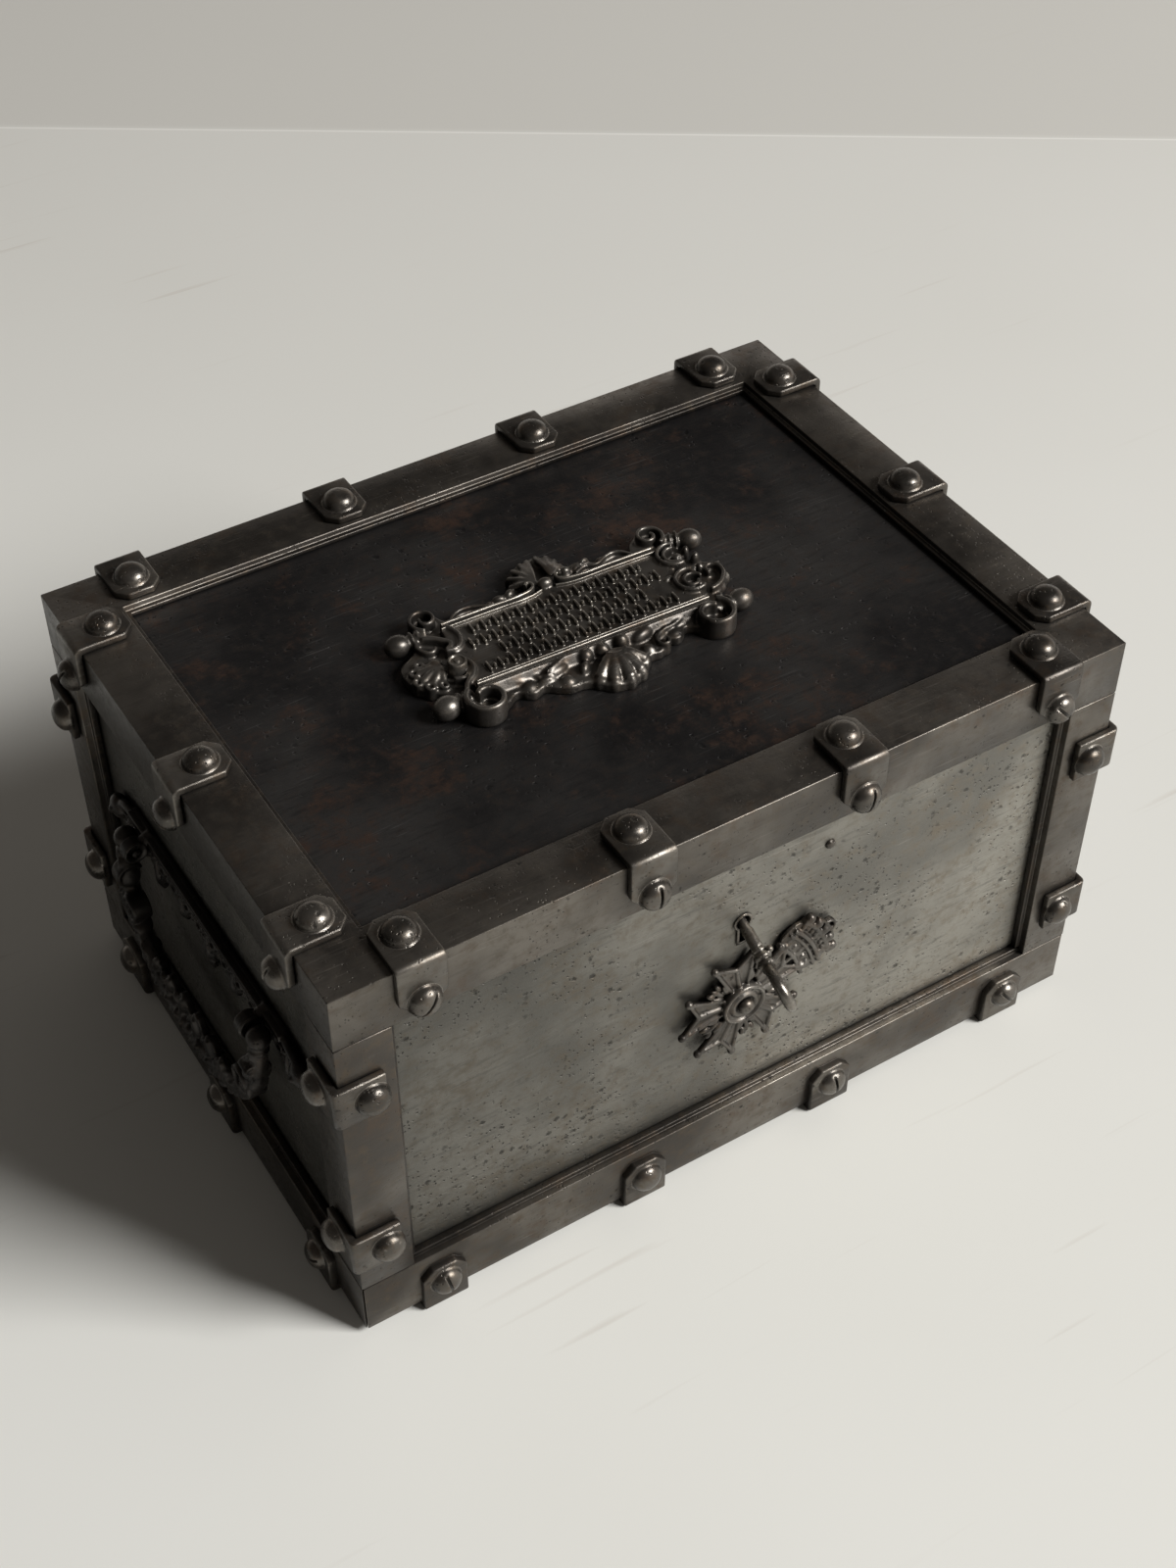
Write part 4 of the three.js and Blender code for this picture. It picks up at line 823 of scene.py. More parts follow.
    # fan and sprays along the far edge
    parts += palmette((-2.2, 17.2), [(-8.2, 22.4), (-6.8, 26.2), (-4.0, 29.0), (-0.6, 30.4), (2.0, 30.9)], 1.15,
                      2.8, 6.6)
    parts += palmette((3.6, 18.6), [(5.2, 31.2), (7.9, 29.9), (9.4, 27.2), (9.8, 24.2)], 1.15, 2.8, 6.4)
    parts += lumps((0.2, 16.2, 5.9, 2.5, 1.9, 1.9),
                   (-10.2, 19.2, 2.6, 2.4, 1.6, 2.8, 40), (-14.0, 18.8, 2.2, 2.6, 1.5, 2.8, -15),
                   (-17.6, 18.4, 2.0, 1.8, 1.1, 2.4, 20), (9.6, 20.6, 2.4, 2.0, 1.6, 2.8, 0),
                   (13.4, 20.6, 2.2, 2.2, 1.3, 2.4, 25), (16.8, 22.0, 2.2, 2.2, 1.0, 2.6, 15),
                   (21.4, 20.4, 2.2, 2.4, 0.9, 2.2, 15), (25.4, 21.0, 2.0, 1.8, 0.8, 2.4, -10))
    bands((4.8, 0.9, (-31.5, 16.6), (-28.4, 19.0), (-24.6, 19.6), (-20.6, 18.4), (-17.6, 16.4)),
          (4.8, 0.9, (11.6, 17.6), (15.6, 19.2), (19.4, 18.4), (23.4, 20.2), (27.4, 20.4), (31.2, 16.6)))
    # shell, knobs and leaves along the near edge
    parts += palmette((2.6, -19.6), [(-5.4, -26.2), (-2.2, -29.2), (2.4, -30.4), (6.8, -29.0), (10.0, -25.2)], 2.0,
                      3.0, 6.4)
    parts.append(ribbon(spiral(3.0, -19.0, 3.6, 3.6, 205, 0.36), 2.0, 7.0, 0.8))
    parts.append(ribbon(spiral(3.0, -19.0, 5.4, 5.4, 205, 0.36), 2.0, 6.3, 0.7))
    parts += lumps((6.9, -17.0, 4.0, 2.3, 2.2, 3.5, 0), (0.6, -17.0, 3.6, 2.3, 2.0, 2.9, 0),
                   (-4.8, -16.8, 3.6, 2.3, 2.2, 2.9, 0), (-7.2, -20.6, 3.0, 2.6, 1.5, 2.6, 50),
                   (-15.4, -17.0, 3.2, 5.0, 2.5, 2.3, 12), (-19.0, -19.4, 2.2, 3.0, 1.2, 2.2, -8),
                   (-13.6, -22.0, 1.2, 3.0, 2.8, 3.0, 0), (-24.4, -18.9, 1.2, 3.1, 2.8, 2.9, 0),
                   (14.6, -16.4, 3.4, 4.2, 2.0, 2.6, 16), (13.4, -21.9, 1.3, 2.8, 2.4, 3.1, 0),
                   (24.0, -19.2, 1.0, 3.0, 2.3, 2.8, 0), (19.2, -18.4, 2.6, 2.4, 1.1, 2.2, 20),
                   (30.6, -17.6, 1.0, 2.6, 1.8, 2.8, 0))
    bands((5.0, 0.9, (34.4, -15.6), (29.4, -15.9), (24.6, -17.4), (20.2, -18.2), (17.0, -20.6), (17.2, -23.2),
           (19.8, -23.2), (19.8, -21.2)),
          (4.4, 0.9, (-33.6, -15.8), (-29.6, -15.8), (-26.4, -16.8), (-22.6, -16.2), (-20.4, -17.8)))
    parts.append(ribbon([(-18.6, -18.6), (-15.2, -17.0), (-11.6, -15.8)], 3.6, 6.0, 0.7))
    # a long sloping face under the near rim
    slope = bar("slope", (-low * mm, -look["slope"] * mm, -1.6 * mm), (low * mm, look["slope"] * mm, 1.6 * mm))
    parts.append(placed(slope, (0, (-high - 1.2) * mm, 3.1 * mm), (math.radians(look["slopeTilt"]), 0, 0)))
    body = cast("lidCasting", parts, look)
    print("lid casting poured", len(body.data.polygons))

    # crisp work on top of the casting: a boss, rims, then rows of reels and beads
    boss = turnedShape("boss", inMm(((2.9, 4.0), (2.9, 7.7), (2.6, 8.2), (2.2, 8.2), (1.9, 7.8), (1.0, 7.8),
                                     (0.8, 8.2), (0, 8.4))), 32)
    bossU, bossV = look["bossAt"]
    crisp = [placed(boss, (bossU * mm, bossV * mm, 0))]
    for height, thick, points in (
        (rim, 0.95, [(-top + 0.4, high - 0.3), (-20, high - 0.2), (-8.6, high - 0.1), (-5.0, high + 0.8),
                     (-3.6, high + 2.6), (-4.6, high + 3.9), (-5.9, high + 3.0)]),
        (rim, 0.95, [(top - 0.4, high - 0.3), (22, high - 0.2), (8.8, high - 0.1), (5.6, high + 0.8),
                     (4.4, high + 2.4), (5.2, high + 3.7), (6.4, high + 3.0)]),
        (look["lowRim"], 0.6, [(-top - 0.2, high - 1.75), (-18, high - 1.7), (-6, high - 1.6), (-2.2, high - 0.6)]),
        (look["lowRim"], 0.6, [(top + 0.2, high - 1.75), (18, high - 1.7), (7, high - 1.6), (2.6, high - 0.6)]),
        (rim, 0.95, [(-low + 0.4, 0.3 - high), (0, 0.3 - high), (low - 0.4, 0.3 - high)]),
        (look["lowRim"], 0.6, [(-low + 1.2, 1.75 - high), (0, 1.75 - high), (low - 1.2, 1.75 - high)]),
    ):
        crisp.append(ribbon(points, look["field"] - 1.5, height, thick, 10))
    wide, deep, tall = look["reelWide"] / 2 * mm, look["reel"] * mm, look["reelHigh"] * mm
    reel = bar("reel", (-wide, 0, 0), (wide, deep, tall))
    editing(reel)
    pickFaces(reel, lambda c, n: n.z > 0.9)
    bpy.ops.transform.resize(value=(0.6, 0.86, 1), center_override=(0, deep / 2, tall))
    done()
    softEdges(reel, 0.13 * mm, 1)
    bead = lump(0, look["reel"] / 2, 0.5, 0.68, 0.9, 1.4, 0, 10)
    for v, half in zip(look["rows"], look["rowHalves"]):
        for i in range(int(2 * half / look["pitch"]) + 1):
            u = -half + i * look["pitch"]
            mark = copied(reel if i % 2 == 0 else bead, "mark")
            crisp.append(placed(mark, (u * mm, (v - look["reel"] / 2) * mm, (look["field"] - 0.5) * mm)))
    putAway(reel, bead)
    for shape in crisp:
        painted(shape, wornIron)
    piece = joined("lid_ornament", [painted(body, castIron)] + crisp)
    placed(piece, (look["centre"][0] * mm, midY + look["centre"][1] * mm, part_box("lid_cartouche")[0][2]),
           (0, 0, math.radians(look["turn"])))
    kept(piece, "lid", None, "cast_iron", "lid_cartouche")


lidCasting()
print("lid ornament done")


# the keyhole cover, drawn upright with its coronet at +v and then turned

coverLook = {
    "pin": (0.8, 66.5), "tilt": 28 - 90, "low": 0.7, "plate": 1.8, "arms": 5, "root": 5.0, "tip": 21.3,
    "notch": 15.6, "spread": 19, "rootSpread": 24, "bars": (21.0, 26.2, 30.8), "barHalf": 10.5, "bend": 34.0,
    "pearls": 5, "hole": 1.7, "voxel": 0.27, "keepShare": 0.5,
}


def polar(radius, angle):
    a = math.radians(90 - angle)
    return (radius * math.cos(a), radius * math.sin(a))


def bentBar(distance, half, bend, steps=7):
    reach = math.asin(half / bend)
    points = []
    for i in range(steps):
        a = -reach + 2 * reach * i / (steps - 1)
        points.append((bend * math.sin(a), distance - bend + bend * math.cos(a)))
    return points


def keyholeCoverCasting():
    look = coverLook
    low, plate, bend = look["low"], look["plate"], look["bend"]
    parts, star = [], []
    pitch = 360 / look["arms"]
    for i in range(look["arms"]):
        a = i * pitch
        rootLeft, rootRight = polar(look["root"], a - look["rootSpread"]), polar(look["root"], a + look["rootSpread"])
        tipLeft, tipRight = polar(look["tip"], a - look["spread"]), polar(look["tip"], a + look["spread"])
        notch = polar(look["notch"], a)
        star += [rootLeft, tipLeft, notch, tipRight, rootRight]
        # raised rims, a ridge down the middle, and a bead on each point
        for path in ((rootLeft, tipLeft), (rootRight, tipRight), (tipLeft, notch), (notch, tipRight)):
            parts.append(rod([(*path[0], plate + 0.35), (*path[1], plate + 0.4)], [0.6, 0.7]))
        parts.append(rod([(*polar(7, a), plate), (*polar(look["notch"] - 0.6, a), plate + 0.35)], [1.0, 0.6]))
        for side in (-0.42, 0.42):
            parts.append(rod([(*polar(8, a + side * 20), plate - 0.35),
                              (*polar(16.6, a + side * look["spread"]), plate - 0.1)], [0.5, 0.4]))
        for tip in (tipLeft, tipRight):
            parts.append(lump(*tip, 2.0, 1.35, 1.35, 1.3, segments=16))
        # sprays of leaves in the gaps
        gap = a + pitch / 2
        for turn, reach, long in ((0, 12.2, 3.4), (-10, 10.6, 2.4), (10, 10.6, 2.4), (-7, 14.2, 1.7), (7, 14.2, 1.7)):
            parts.append(lump(*polar(reach, gap + turn), 1.8, long, 0.85, 1.1, 90 - gap - turn * 2.2, 14))
    parts.append(cutSheet(star[::-1], low, plate, sharp=True))
    boss = turnedShape("boss", inMm((
        (7.2, 0.0), (7.4, 0.4), (7.4, 3.7), (7.1, 4.1), (6.7, 4.2), (6.3, 4.0), (5.9, 3.3), (5.3, 3.1), (4.9, 3.3),
        (4.5, 4.0), (4.1, 4.2), (3.6, 4.1), (3.2, 3.7), (2.9, 3.4), (0, 3.4))), 56)
    # coronet: bent bars on ribs, two rows of small beads, pearls and a ring
    inner, middle, outer = look["bars"]
    fill = bentBar(inner - 1, 8.6, bend)[::-1] + bentBar(outer, 9.8, bend)
    parts.append(cutSheet(fill[::-1], low, 1.9, 4))
    for distance, half, thick, top in ((inner - 1.0, 9.4, 1.5, 3.0), (middle - 1.4, 10.2, 1.2, 3.2),
                                       (middle + 0.6, 10.3, 1.6, 3.3), (outer, look["barHalf"], 1.7, 3.2)):
        parts.append(ribbon(bentBar(distance, half, bend), low, top, thick))
    for u in (-7.4, 0, 7.4):
        parts.append(rod([(u * 0.8, look["notch"] - 0.5, 1.5), (u, inner, 1.7), (u * 1.05, outer, 1.7)],
                         [0.8, 0.9, 0.9]))
    for distance, half, count, high, size, segments in (
        (inner + 1.4, 6.6, 5, 1.9, (0.8, 1.2, 0.9), 12), (middle + 3.0, 8.6, 8, 1.9, (0.95, 0.9, 1.1), 12),
        (outer + 1.6, 9.4, look["pearls"], 2.1, (1.75, 1.75, 1.6), 18),
    ):
        parts += [lump(*spot, high, *size, segments=segments) for spot in bentBar(distance, half, bend, count)]
    parts.append(ribbon(bentBar(outer + 3.3, 6.4, 16), low + 0.4, 2.9, 1.0))
    parts.append(ribbon(spiral(0, outer + 3.3, 2.0, 2.0, 0, 1), low, 3.0, 0.9))
    casting = cast("coverCasting", parts, look)
    for body in (casting, boss):
        cutOut(body, turnedShape("hole", inMm(((look["hole"], -9), (look["hole"], 9))), 32))
    piece = joined("keyhole_cover_cast", [casting, boss])
    placed(piece, rotation=(0, 0, math.radians(look["tilt"])))
    placed(piece, (look["pin"][0] * mm, plateFace - 0.3 * mm, look["pin"][1] * mm), (math.radians(90), 0, 0))
    kept(piece, "keyhole_cover", castIron, "cast_iron", "keyhole_cover")


keyholeCoverCasting()
print("keyhole cover done")


# small things on the front: the cover's pin, and the rivet beside it

def frontHead(name, profile, sides, x, z, node):
    head = turnedShape(name, inMm(profile), sides)
    placed(head, (x, plateFace, z), (math.radians(90), 0, 0))
    kept(head, "chest", headIron, "bright_iron", node)


frontHead("cover_pin_head", ((1.4, 0.2), (1.4, 4.2), (2.6, 4.25), (2.6, 5.0), (2.35, 5.6), (1.9, 6.1), (1.2, 6.5),
                             (0.5, 6.68), (0, 6.7)), 32, coverLook["pin"][0] * mm, coverLook["pin"][1] * mm,
          "cover_pivot")
rivetAt = [(a + b) / 2 for a, b in zip(*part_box("lock_rivet"))]
frontHead("small_rivet", ((1.2, -1.5), (1.2, 0), (1.7, 0.05), (1.6, 0.5), (1.3, 0.9), (0.8, 1.15), (0, 1.25)), 28,
          rivetAt[0], rivetAt[2], "lock_rivet")

# the keyhole's rim, and the hinges and lock behind the walls, each with the width of its broken edge in mm
bright, dark = (keyIron, "bright_iron"), (strapIron, "frame_iron")
for node, name, body, finish, width in (
    ("keyhole_rim", "keyhole_rim_worn", "chest", bright, 0.12),
    ("hinge_leaf_box_left", "hinge_iron_box_left", "chest", dark, 0.3),
    ("hinge_leaf_box_right", "hinge_iron_box_right", "chest", dark, 0.3),
    ("hinge_leaf_lid_left", "hinge_iron_lid_left", "lid", dark, 0.3),
    ("hinge_leaf_lid_right", "hinge_iron_lid_right", "lid", dark, 0.3),
    ("hinge_pin_left", "hinge_rod_left", "chest", bright, 0.3),
    ("hinge_pin_right", "hinge_rod_right", "chest", bright, 0.3),
    ("lock_case", "lock_box_iron", "chest", dark, 0.35),
    ("lid_staple", "staple_iron", "lid", dark, 0.35),
    ("lock_bolt", "bolt_iron", "lock_bolt", bright, 0.35),
):
    brokenEdges(node, name, body, *finish, width * mm)
print("hinges and lock done")


# the key, modelled along z with its bow in the plane x = 0

keySize = {
    "entry": (0.8, 98.616), "droop": 24.5, "turned": 24, "shank": 1.45, "shankOut": 1.85,
    "outside": 29.4, "bowLong": 16.0, "bowWide": 14.0, "bowBar": 3.5, "bowThick": 3.4,
    "bitHalf": 0.9, "bitLong": 6, "bitFrom": -11, "bitTo": -7, "wards": (-10.4, -8.6), "wardWide": 0.8,
}


def ironKey():
    look = keySize
    r, outer, thick = look["shank"], look["shankOut"], look["bitHalf"]
    profile = ((0.7, -12.3), (r, -11.9), (r, 1.9), (outer, 3.0), (outer, 8.8), (outer * 1.2, 9.2),
               (outer * 1.2, 9.7), (outer, 10.1), (outer * 1.3, 10.5), (2.9, 11.3), (2.9, 11.8), (2.4, 12.4),
               (2.0, 12.6), (2.4, 12.9), (2.9, 13.5), (2.9, 14.0), (2.4, 14.6), (1.9, 14.9), (2.1, 15.4),
               (2.1, 15.9), (1.7, 16.4), (0, 16.7))
    shank = turnedShape("shank", inMm(profile), 28)
    bpy.ops.object.select_all(action="DESELECT")
    wide = (look["bowWide"] - look["bowBar"]) / 2
    bpy.ops.mesh.primitive_torus_add(major_segments=56, minor_segments=16, major_radius=wide * mm,
                                     minor_radius=look["bowBar"] / 2 * mm)
    bow = bpy.context.active_object
    # the bow: a ring longer along the shank than across it, and a little flat
    bow.scale = (1, look["bowLong"] / look["bowWide"], look["bowThick"] / look["bowBar"])
    bpy.ops.object.transform_apply(location=False, rotation=False, scale=True)
    placed(bow, (0, 0, (look["outside"] - look["bowLong"] / 2) * mm), (math.radians(90), 0, math.radians(90)))
    bpy.ops.object.shade_smooth()
    bit = bar("bit", (-thick * mm, -look["bitLong"] * mm, look["bitFrom"] * mm),
              (thick * mm, -0.4 * mm, look["bitTo"] * mm))
    for low in look["wards"]:
        cutOut(bit, bar("ward", (-2 * mm, -7 * mm, low * mm), (2 * mm, -3.4 * mm, (low + look["wardWide"]) * mm)))
    softEdges(bit, 0.12 * mm)
    stop = lump(2.9, 1.0, 10.6, 1.1, 1.1, 1.1)
    bpy.ops.object.shade_smooth()
    piece = joined("iron_key", [shank, bow, bit, stop])
    placed(piece, rotation=(0, 0, math.radians(look["turned"])))
    placed(piece, (look["entry"][0] * mm, plateFace, look["entry"][1] * mm),
           (math.radians(90 + look["droop"]), 0, 0))
    kept(piece, "key", keyIron, "bright_iron", "key")


ironKey()
print("key done")


# the handles: a frieze on the wall and a bail hung from its lugs; v is measured from the bail's axis

handleLook = {"axis": 88.5, "wall": 125.1, "gap": 0.3, "proud": 7.4, "halfStraight": 52.0, "half": 62.0, "top": 4.0,
              "foot": -7.0, "lugAt": 39.8, "leaves": 7, "leafDrops": (6.6, 9.6), "middleDrop": 12,
              "voxel": 0.4, "keepShare": 0.45}
bailLook = {"half": 46.0, "drop": 41.0, "bow": 3.6, "bar": 3.0, "crest": 12.0, "points": 13, "inside": 0.62,
            "voxel": 0.42, "keepShare": 0.45}


def friezeCasting():
    look = handleLook
    top, foot, straight, half = look["top"], look["foot"], look["halfStraight"], look["half"]
    pitch = 2 * half / look["leaves"]
    edge = [(-straight, top), (-half - 1, top - 6.5), (-half + 1, foot)]
    parts = []
    for i in range(look["leaves"]):
        u = -half + (i + 0.5) * pitch
        drop = look["middleDrop"] if i == look["leaves"] // 2 else look["leafDrops"][i % 2]
        tip = foot - drop
        for du, dv in ((-6.4, 0.2), (-3.4, 0.45), (-1.3, 0.8), (0, 1), (1.3, 0.8), (3.4, 0.45), (6.4, 0.2)):
            edge.append((u + du, foot - drop * (dv - 0.2) / 0.8))
        # a hanging leaf with a rib and side lobes, and a pair of scrolls over it
        parts.append(rod([(u, foot + 4, 1.8), (u, (foot + tip) / 2, 2.2), (u, tip + 0.6, 1.2)], [0.9, 1.2, 0.6]))
        for side in (-1, 1):
            parts += lumps((u + side * 2.2, foot - drop * 0.34, 1.3, 3.0, 1.2, 1.4, side * 55),
                           (u + side * 4.0, foot - drop * 0.04, 1.3, 2.8, 1.2, 1.3, side * 35),
                           (u + side * 1.2, foot - drop * 0.66, 1.2, 2.2, 0.8, 1.1, side * 70))
            curl = spiral(u + side * 4.1, foot + 3.9, 3.3, 0.9, 90, -1.15 * side, 12)
            parts.append(ribbon(curl, 0.2, 3.0, 0.95))
        parts += lumps((u, foot + 5.4, 1.9, 1.5, 1.3, 1.6), (u + pitch / 2, foot + 2.6, 1.5, 1.1, 2.2, 1.5))
    edge += [(half - 1, foot), (half + 1, top - 6.5), (straight, top)]
    parts.append(cutSheet(edge, 0, 1.5, sharp=True))
    axis = look["proud"] - look["gap"]
    for side in (-1, 1):
        parts += lumps((side * half, top - 6.5, 2.4, 4.4, 4.2, 2.9), (side * half, top - 6.5, 4.0, 1.6, 1.6, 2.2))
        parts.append(rod([(side * (straight - 1), top - 1.2, 1.8), (side * (half - 4), top - 2.6, 2.2),
                          (side * (half - 1), top - 4.6, 2.2)], [1.3, 1.6, 1.4]))
        parts.append(lump(side * (half - 5), foot - 1.0, 1.4, 3.4, 1.4, 1.6, side * 60))
        # lug of the bail
        x = side * look["lugAt"]
        parts.append(rod([(x, -3.2, 0.4), (x, -1.2, axis - 2.4)], [2.6, 2.3]))
        parts.append(rod([(x, 3.0, 0.4), (x, 1.2, axis - 2.4)], [2.4, 2.2]))
    casting = cast("friezeCasting", parts, look)
    rail = bar("rail", (-straight * mm, (top - 2.4) * mm, 0), (straight * mm, top * mm, 3.6 * mm))
    editing(rail)
    pickFaces(rail, lambda c, n: n.z > 0.9)
    bpy.ops.mesh.inset(thickness=0.55 * mm)
    extrude(z=-0.5 * mm)
    done()
    softEdges(rail, 0.25 * mm)
    crisp = [rail]
    for side in (-1, 1):
        eye = turnedShape("lug", inMm(((3.5, -2.2), (3.9, -1.8), (3.9, 1.8), (3.5, 2.2), (0, 2.2))))
        cutOut(eye, turnedShape("hole", inMm(((1.9, -4), (1.9, 4))), 28))
        crisp.append(placed(eye, (side * look["lugAt"] * mm, 0, axis * mm), (0, math.radians(90), 0)))
    return joined("friezePattern", [casting] + crisp)


def bailCasting():
    look = bailLook
    half, drop, bow, thick = look["half"], look["drop"], look["bow"], look["bar"]
    shares = ((1, 0, 0), (1, 0.26, 0.3), (0.93, 0.5, 0.55), (0.82, 0.72, 0.8), (0.6, 0.86, 0.92), (0.38, 0.97, 1))
    right = [(half * a, -drop * b, bow * c) for a, b, c in shares]
    left = [(-a, b, c) for a, b, c in right]
    path = right + [(0, -drop, bow)] + left[::-1]
    radii = [2.7, 2.5, 2.9, 2.8, 2.9, 3.0, 3.2]
    parts = [rod(path, radii + radii[-2::-1], 10, 5)]
    for side in (-1, 1):
        parts += lumps((side * half, 0, 0, 3.7, 3.7, 3.7), (side * half, -4.4, 0.5, 3.3, 1.1, 3.3))
        parts.append(rod([(side * half, 0, 0), (side * (half - 9.0), 0, 0)], [1.55, 1.55]))
        # volute where the arm turns in, with leaves wrapped round it
        u, v = side * (half - 6.6), -drop * 0.5 - 1.6
        parts.append(ribbon(spiral(u, v, 6.2, 1.8, 90 - side * 70, -side * 1.35), -0.6, 5.8, 1.5))
        parts += lumps((u, v, 2.0, 4.6, 4.6, 1.7), (u, v, 2.4, 1.3, 1.3, 3.2))
        # a scroll rolled across the arm, seen from its end
        roll = joined("roll", [ribbon(spiral(0, 0, 4.6, 1.5, 150, -1.3), -2.8, 2.8, 1.3),
                               *lumps((0, 0, 0, 4.2, 4.2, 1.9), (0, 0, 0, 1.3, 1.3, 2.9))])
        parts.append(placed(roll, (side * (half - 1.2) * mm, -13.5 * mm, 1.9 * mm), (0, math.radians(90 * side), 0)))
        for x, y, z, a, b, c, turn in (
            (half + 0.4, -6.6, 0.9, 3.8, 1.6, 3.1, 84), (half - 1.8, -8.4, 1.4, 3.0, 1.5, 3.2, 60),
            (half + 0.6, -12.2, 1.4, 4.2, 1.6, 3.0, 95), (half - 2.8, -13.0, 1.6, 4.2, 1.5, 3.3, 70),
            (half + 0.2, -18.6, 2.0, 3.8, 1.6, 3.2, 78), (half - 2.2, -24.0, 2.4, 3.6, 1.5, 3.2, 64),
            (half - 6.0, -29.6, 2.6, 3.8, 1.5, 3.4, 48), (half - 9.8, -28.2, 2.8, 3.6, 1.4, 3.2, 40),
            (half - 10.6, -33.0, 3.0, 3.6, 1.4, 3.4, 38), (half - 15.6, -32.6, 3.2, 3.6, 1.5, 3.5, 28),
            (half - 15.4, -36.6, 3.2, 3.4, 1.3, 3.4, 26), (half - 21.0, -36.0, 3.4, 3.6, 1.5, 3.6, 20),
            (half - 21.6, -39.6, 3.4, 3.2, 1.3, 3.4, 16),
        ):
            parts.append(lump(side * x, y, z, a, b, c, side * turn))
        # a twist of leaves towards the middle of the grip
        for k in range(5):
            x = 21.0 - 3.4 * k
            y = -drop * 0.97 - (drop * 0.03) * (1 - x / 21.0)
            parts.append(lump(side * x, y + 0.9 * (-1) ** k, bow, 2.2, 1.5, thick + 0.75, side * 32 * (-1) ** k))
    # leafwork inside the grip
    crest, inside = look["crest"], half * look["inside"]
    edge = [(-half * 0.7, -drop * 0.84), (-inside, -drop * 0.96), (0, -drop), (inside, -drop * 0.96),
            (half * 0.7, -drop * 0.84)]
    for i in range(look["points"]):
        off = 1 - 2 * i / (look["points"] - 1)
        x = inside * off
        edge.append((x, -drop + (crest if i % 2 else crest * 0.62) * (1 - 0.25 * abs(off))))
        side = 1 if x >= 0 else -1
        if i % 2:
            parts.append(lump(x, -drop + crest * 0.52, bow + 0.4, crest * 0.40, 1.9, 2.0, 90 + side * 14))
            parts.append(rod([(x, -drop + 2, bow + 1.2), (x, -drop + crest * 0.8, bow + 1.6)], [1.3, 0.6]))
        else:
            parts.append(lump(x, -drop + crest * 0.44, bow + 0.2, 2.6, 1.3, 1.8, 90 - side * 30))
    parts.append(cutSheet(edge, bow - 1.7, bow + 0.7, 4))
    # beads at the middle of the grip
    for x, wide, reach in ((-6.4, 0.95, 3.6), (-3.4, 0.95, 3.9), (0, 2.0, 3.6), (3.4, 0.95, 3.9), (6.4, 0.95, 3.6)):
        parts.append(lump(x, -drop, bow, wide, reach, reach))
    return cast("bailPattern", parts, look)


frieze = friezeCasting()
bail = bailCasting()
for end, sign in (("left", -1), ("right", 1)):
    turn = (math.radians(90), 0, math.radians(90 * sign))
    for pattern, name, out, body, node in (
        (frieze, "handle_frieze_", handleLook["gap"], "chest", "handle_plate_" + end),
        (bail, "bail_cast_", handleLook["proud"], "bail_" + end, "bail_" + end),
    ):
        reach = sign * (handleLook["wall"] + out) * mm
        piece = placed(copied(pattern, name + end), (reach, midY, handleLook["axis"] * mm), turn)
        kept(piece, body, handleShadeIron, "cast_iron", node)
putAway(frieze, bail)
print("handles done")


# floor, light and camera

lampLook = {"toward": (0.66, -0.75), "elevation": 39, "away": 5.2, "size": 1.95, "power": 352,
            "colour": (1.0, 0.985, 0.965)}
floorLook = {
    "size": 9.0, "rough": 0.6, "gloss": 0.15, "colour": (0.805, 0.808, 0.775), "shade": (0.775, 0.777, 0.74),
    "seamFrom": (0.0708, 0.6436), "seamTo": (0.5345, 0.3427), "seamHalf": 0.0004, "seamShare": 0.55,
    "seam": (0.9, 0.89, 0.86), "beyond": (0.59, 0.58, 0.545), "dullOver": 0.004, "dullShare": 0.75,
    "fadeFrom": -0.75, "fadeShare": 0.55, "scuff": (0.50, 0.45, 0.39), "scuffShare": 0.40,
    "lampShare": 0.72, "lampFrom": 0.40, "lampTo": 1.6, "underLamp": (0.10, 0.10, 0.095),
}
bpy.ops.object.select_all(action="DESELECT")
bpy.ops.mesh.primitive_plane_add(size=floorLook["size"], location=(0, 0, 0))
floor = bpy.context.active_object
floor.name = "pale_floor"
floorPaint = bpy.data.materials.new("paleFloor")
floorPaint.use_nodes = True
floorTree = floorPaint.node_tree
shader = floorTree.nodes["Principled BSDF"]
shader.inputs["Roughness"].default_value = floorLook["rough"]
shader.inputs["Specular IOR Level"].default_value = floorLook["gloss"]


def floorNode(kind, *sources, **values):
    return newNode(floorTree, kind, *sources, **values)


def floorRange(value, low, high, toLow, toHigh):
    return floorNode("ShaderNodeMapRange", ("Value", value), ("From Min", low), ("From Max", high),
                     ("To Min", toLow), ("To Max", toHigh)).outputs[0]


def floorMaths(kind, *terms):
    return floorNode("ShaderNodeMath", *enumerate(terms), operation=kind).outputs[0]


def floorMix(share, a, b):
    return floorNode("ShaderNodeMix", (0, share), (6, a), (7, (*floorLook[b], 1)), data_type="RGBA").outputs[2]


# a seam across the floor behind the box, duller beyond it, painted shade that darkens the floor towards it, and a few
# faint scuffs
across = Vector(floorLook["seamTo"]) - Vector(floorLook["seamFrom"])
across = Vector((-across.y, across.x, 0)).normalized()
seamAt = across.dot(Vector((*floorLook["seamFrom"], 0)))
floorSpot = floorNode("ShaderNodeTexCoord").outputs["Object"]
beyond = floorNode("ShaderNodeVectorMath", (0, floorSpot), (1, tuple(across)), operation="DOT_PRODUCT")
beyond = floorMaths("SUBTRACT", beyond.outputs["Value"], seamAt)
seamHalf = floorLook["seamHalf"]
seam = floorRange(floorMaths("ABSOLUTE", beyond), seamHalf, seamHalf * 2.2, floorLook["seamShare"], 0)
dull = floorRange(beyond, 0, floorLook["dullOver"], 0, floorLook["dullShare"])
# painted shade: the floor darkens towards the seam, standing in for the lamp's light falling off
paintedFalloff = floorRange(beyond, floorLook["fadeFrom"], 0, 0, floorLook["fadeShare"])
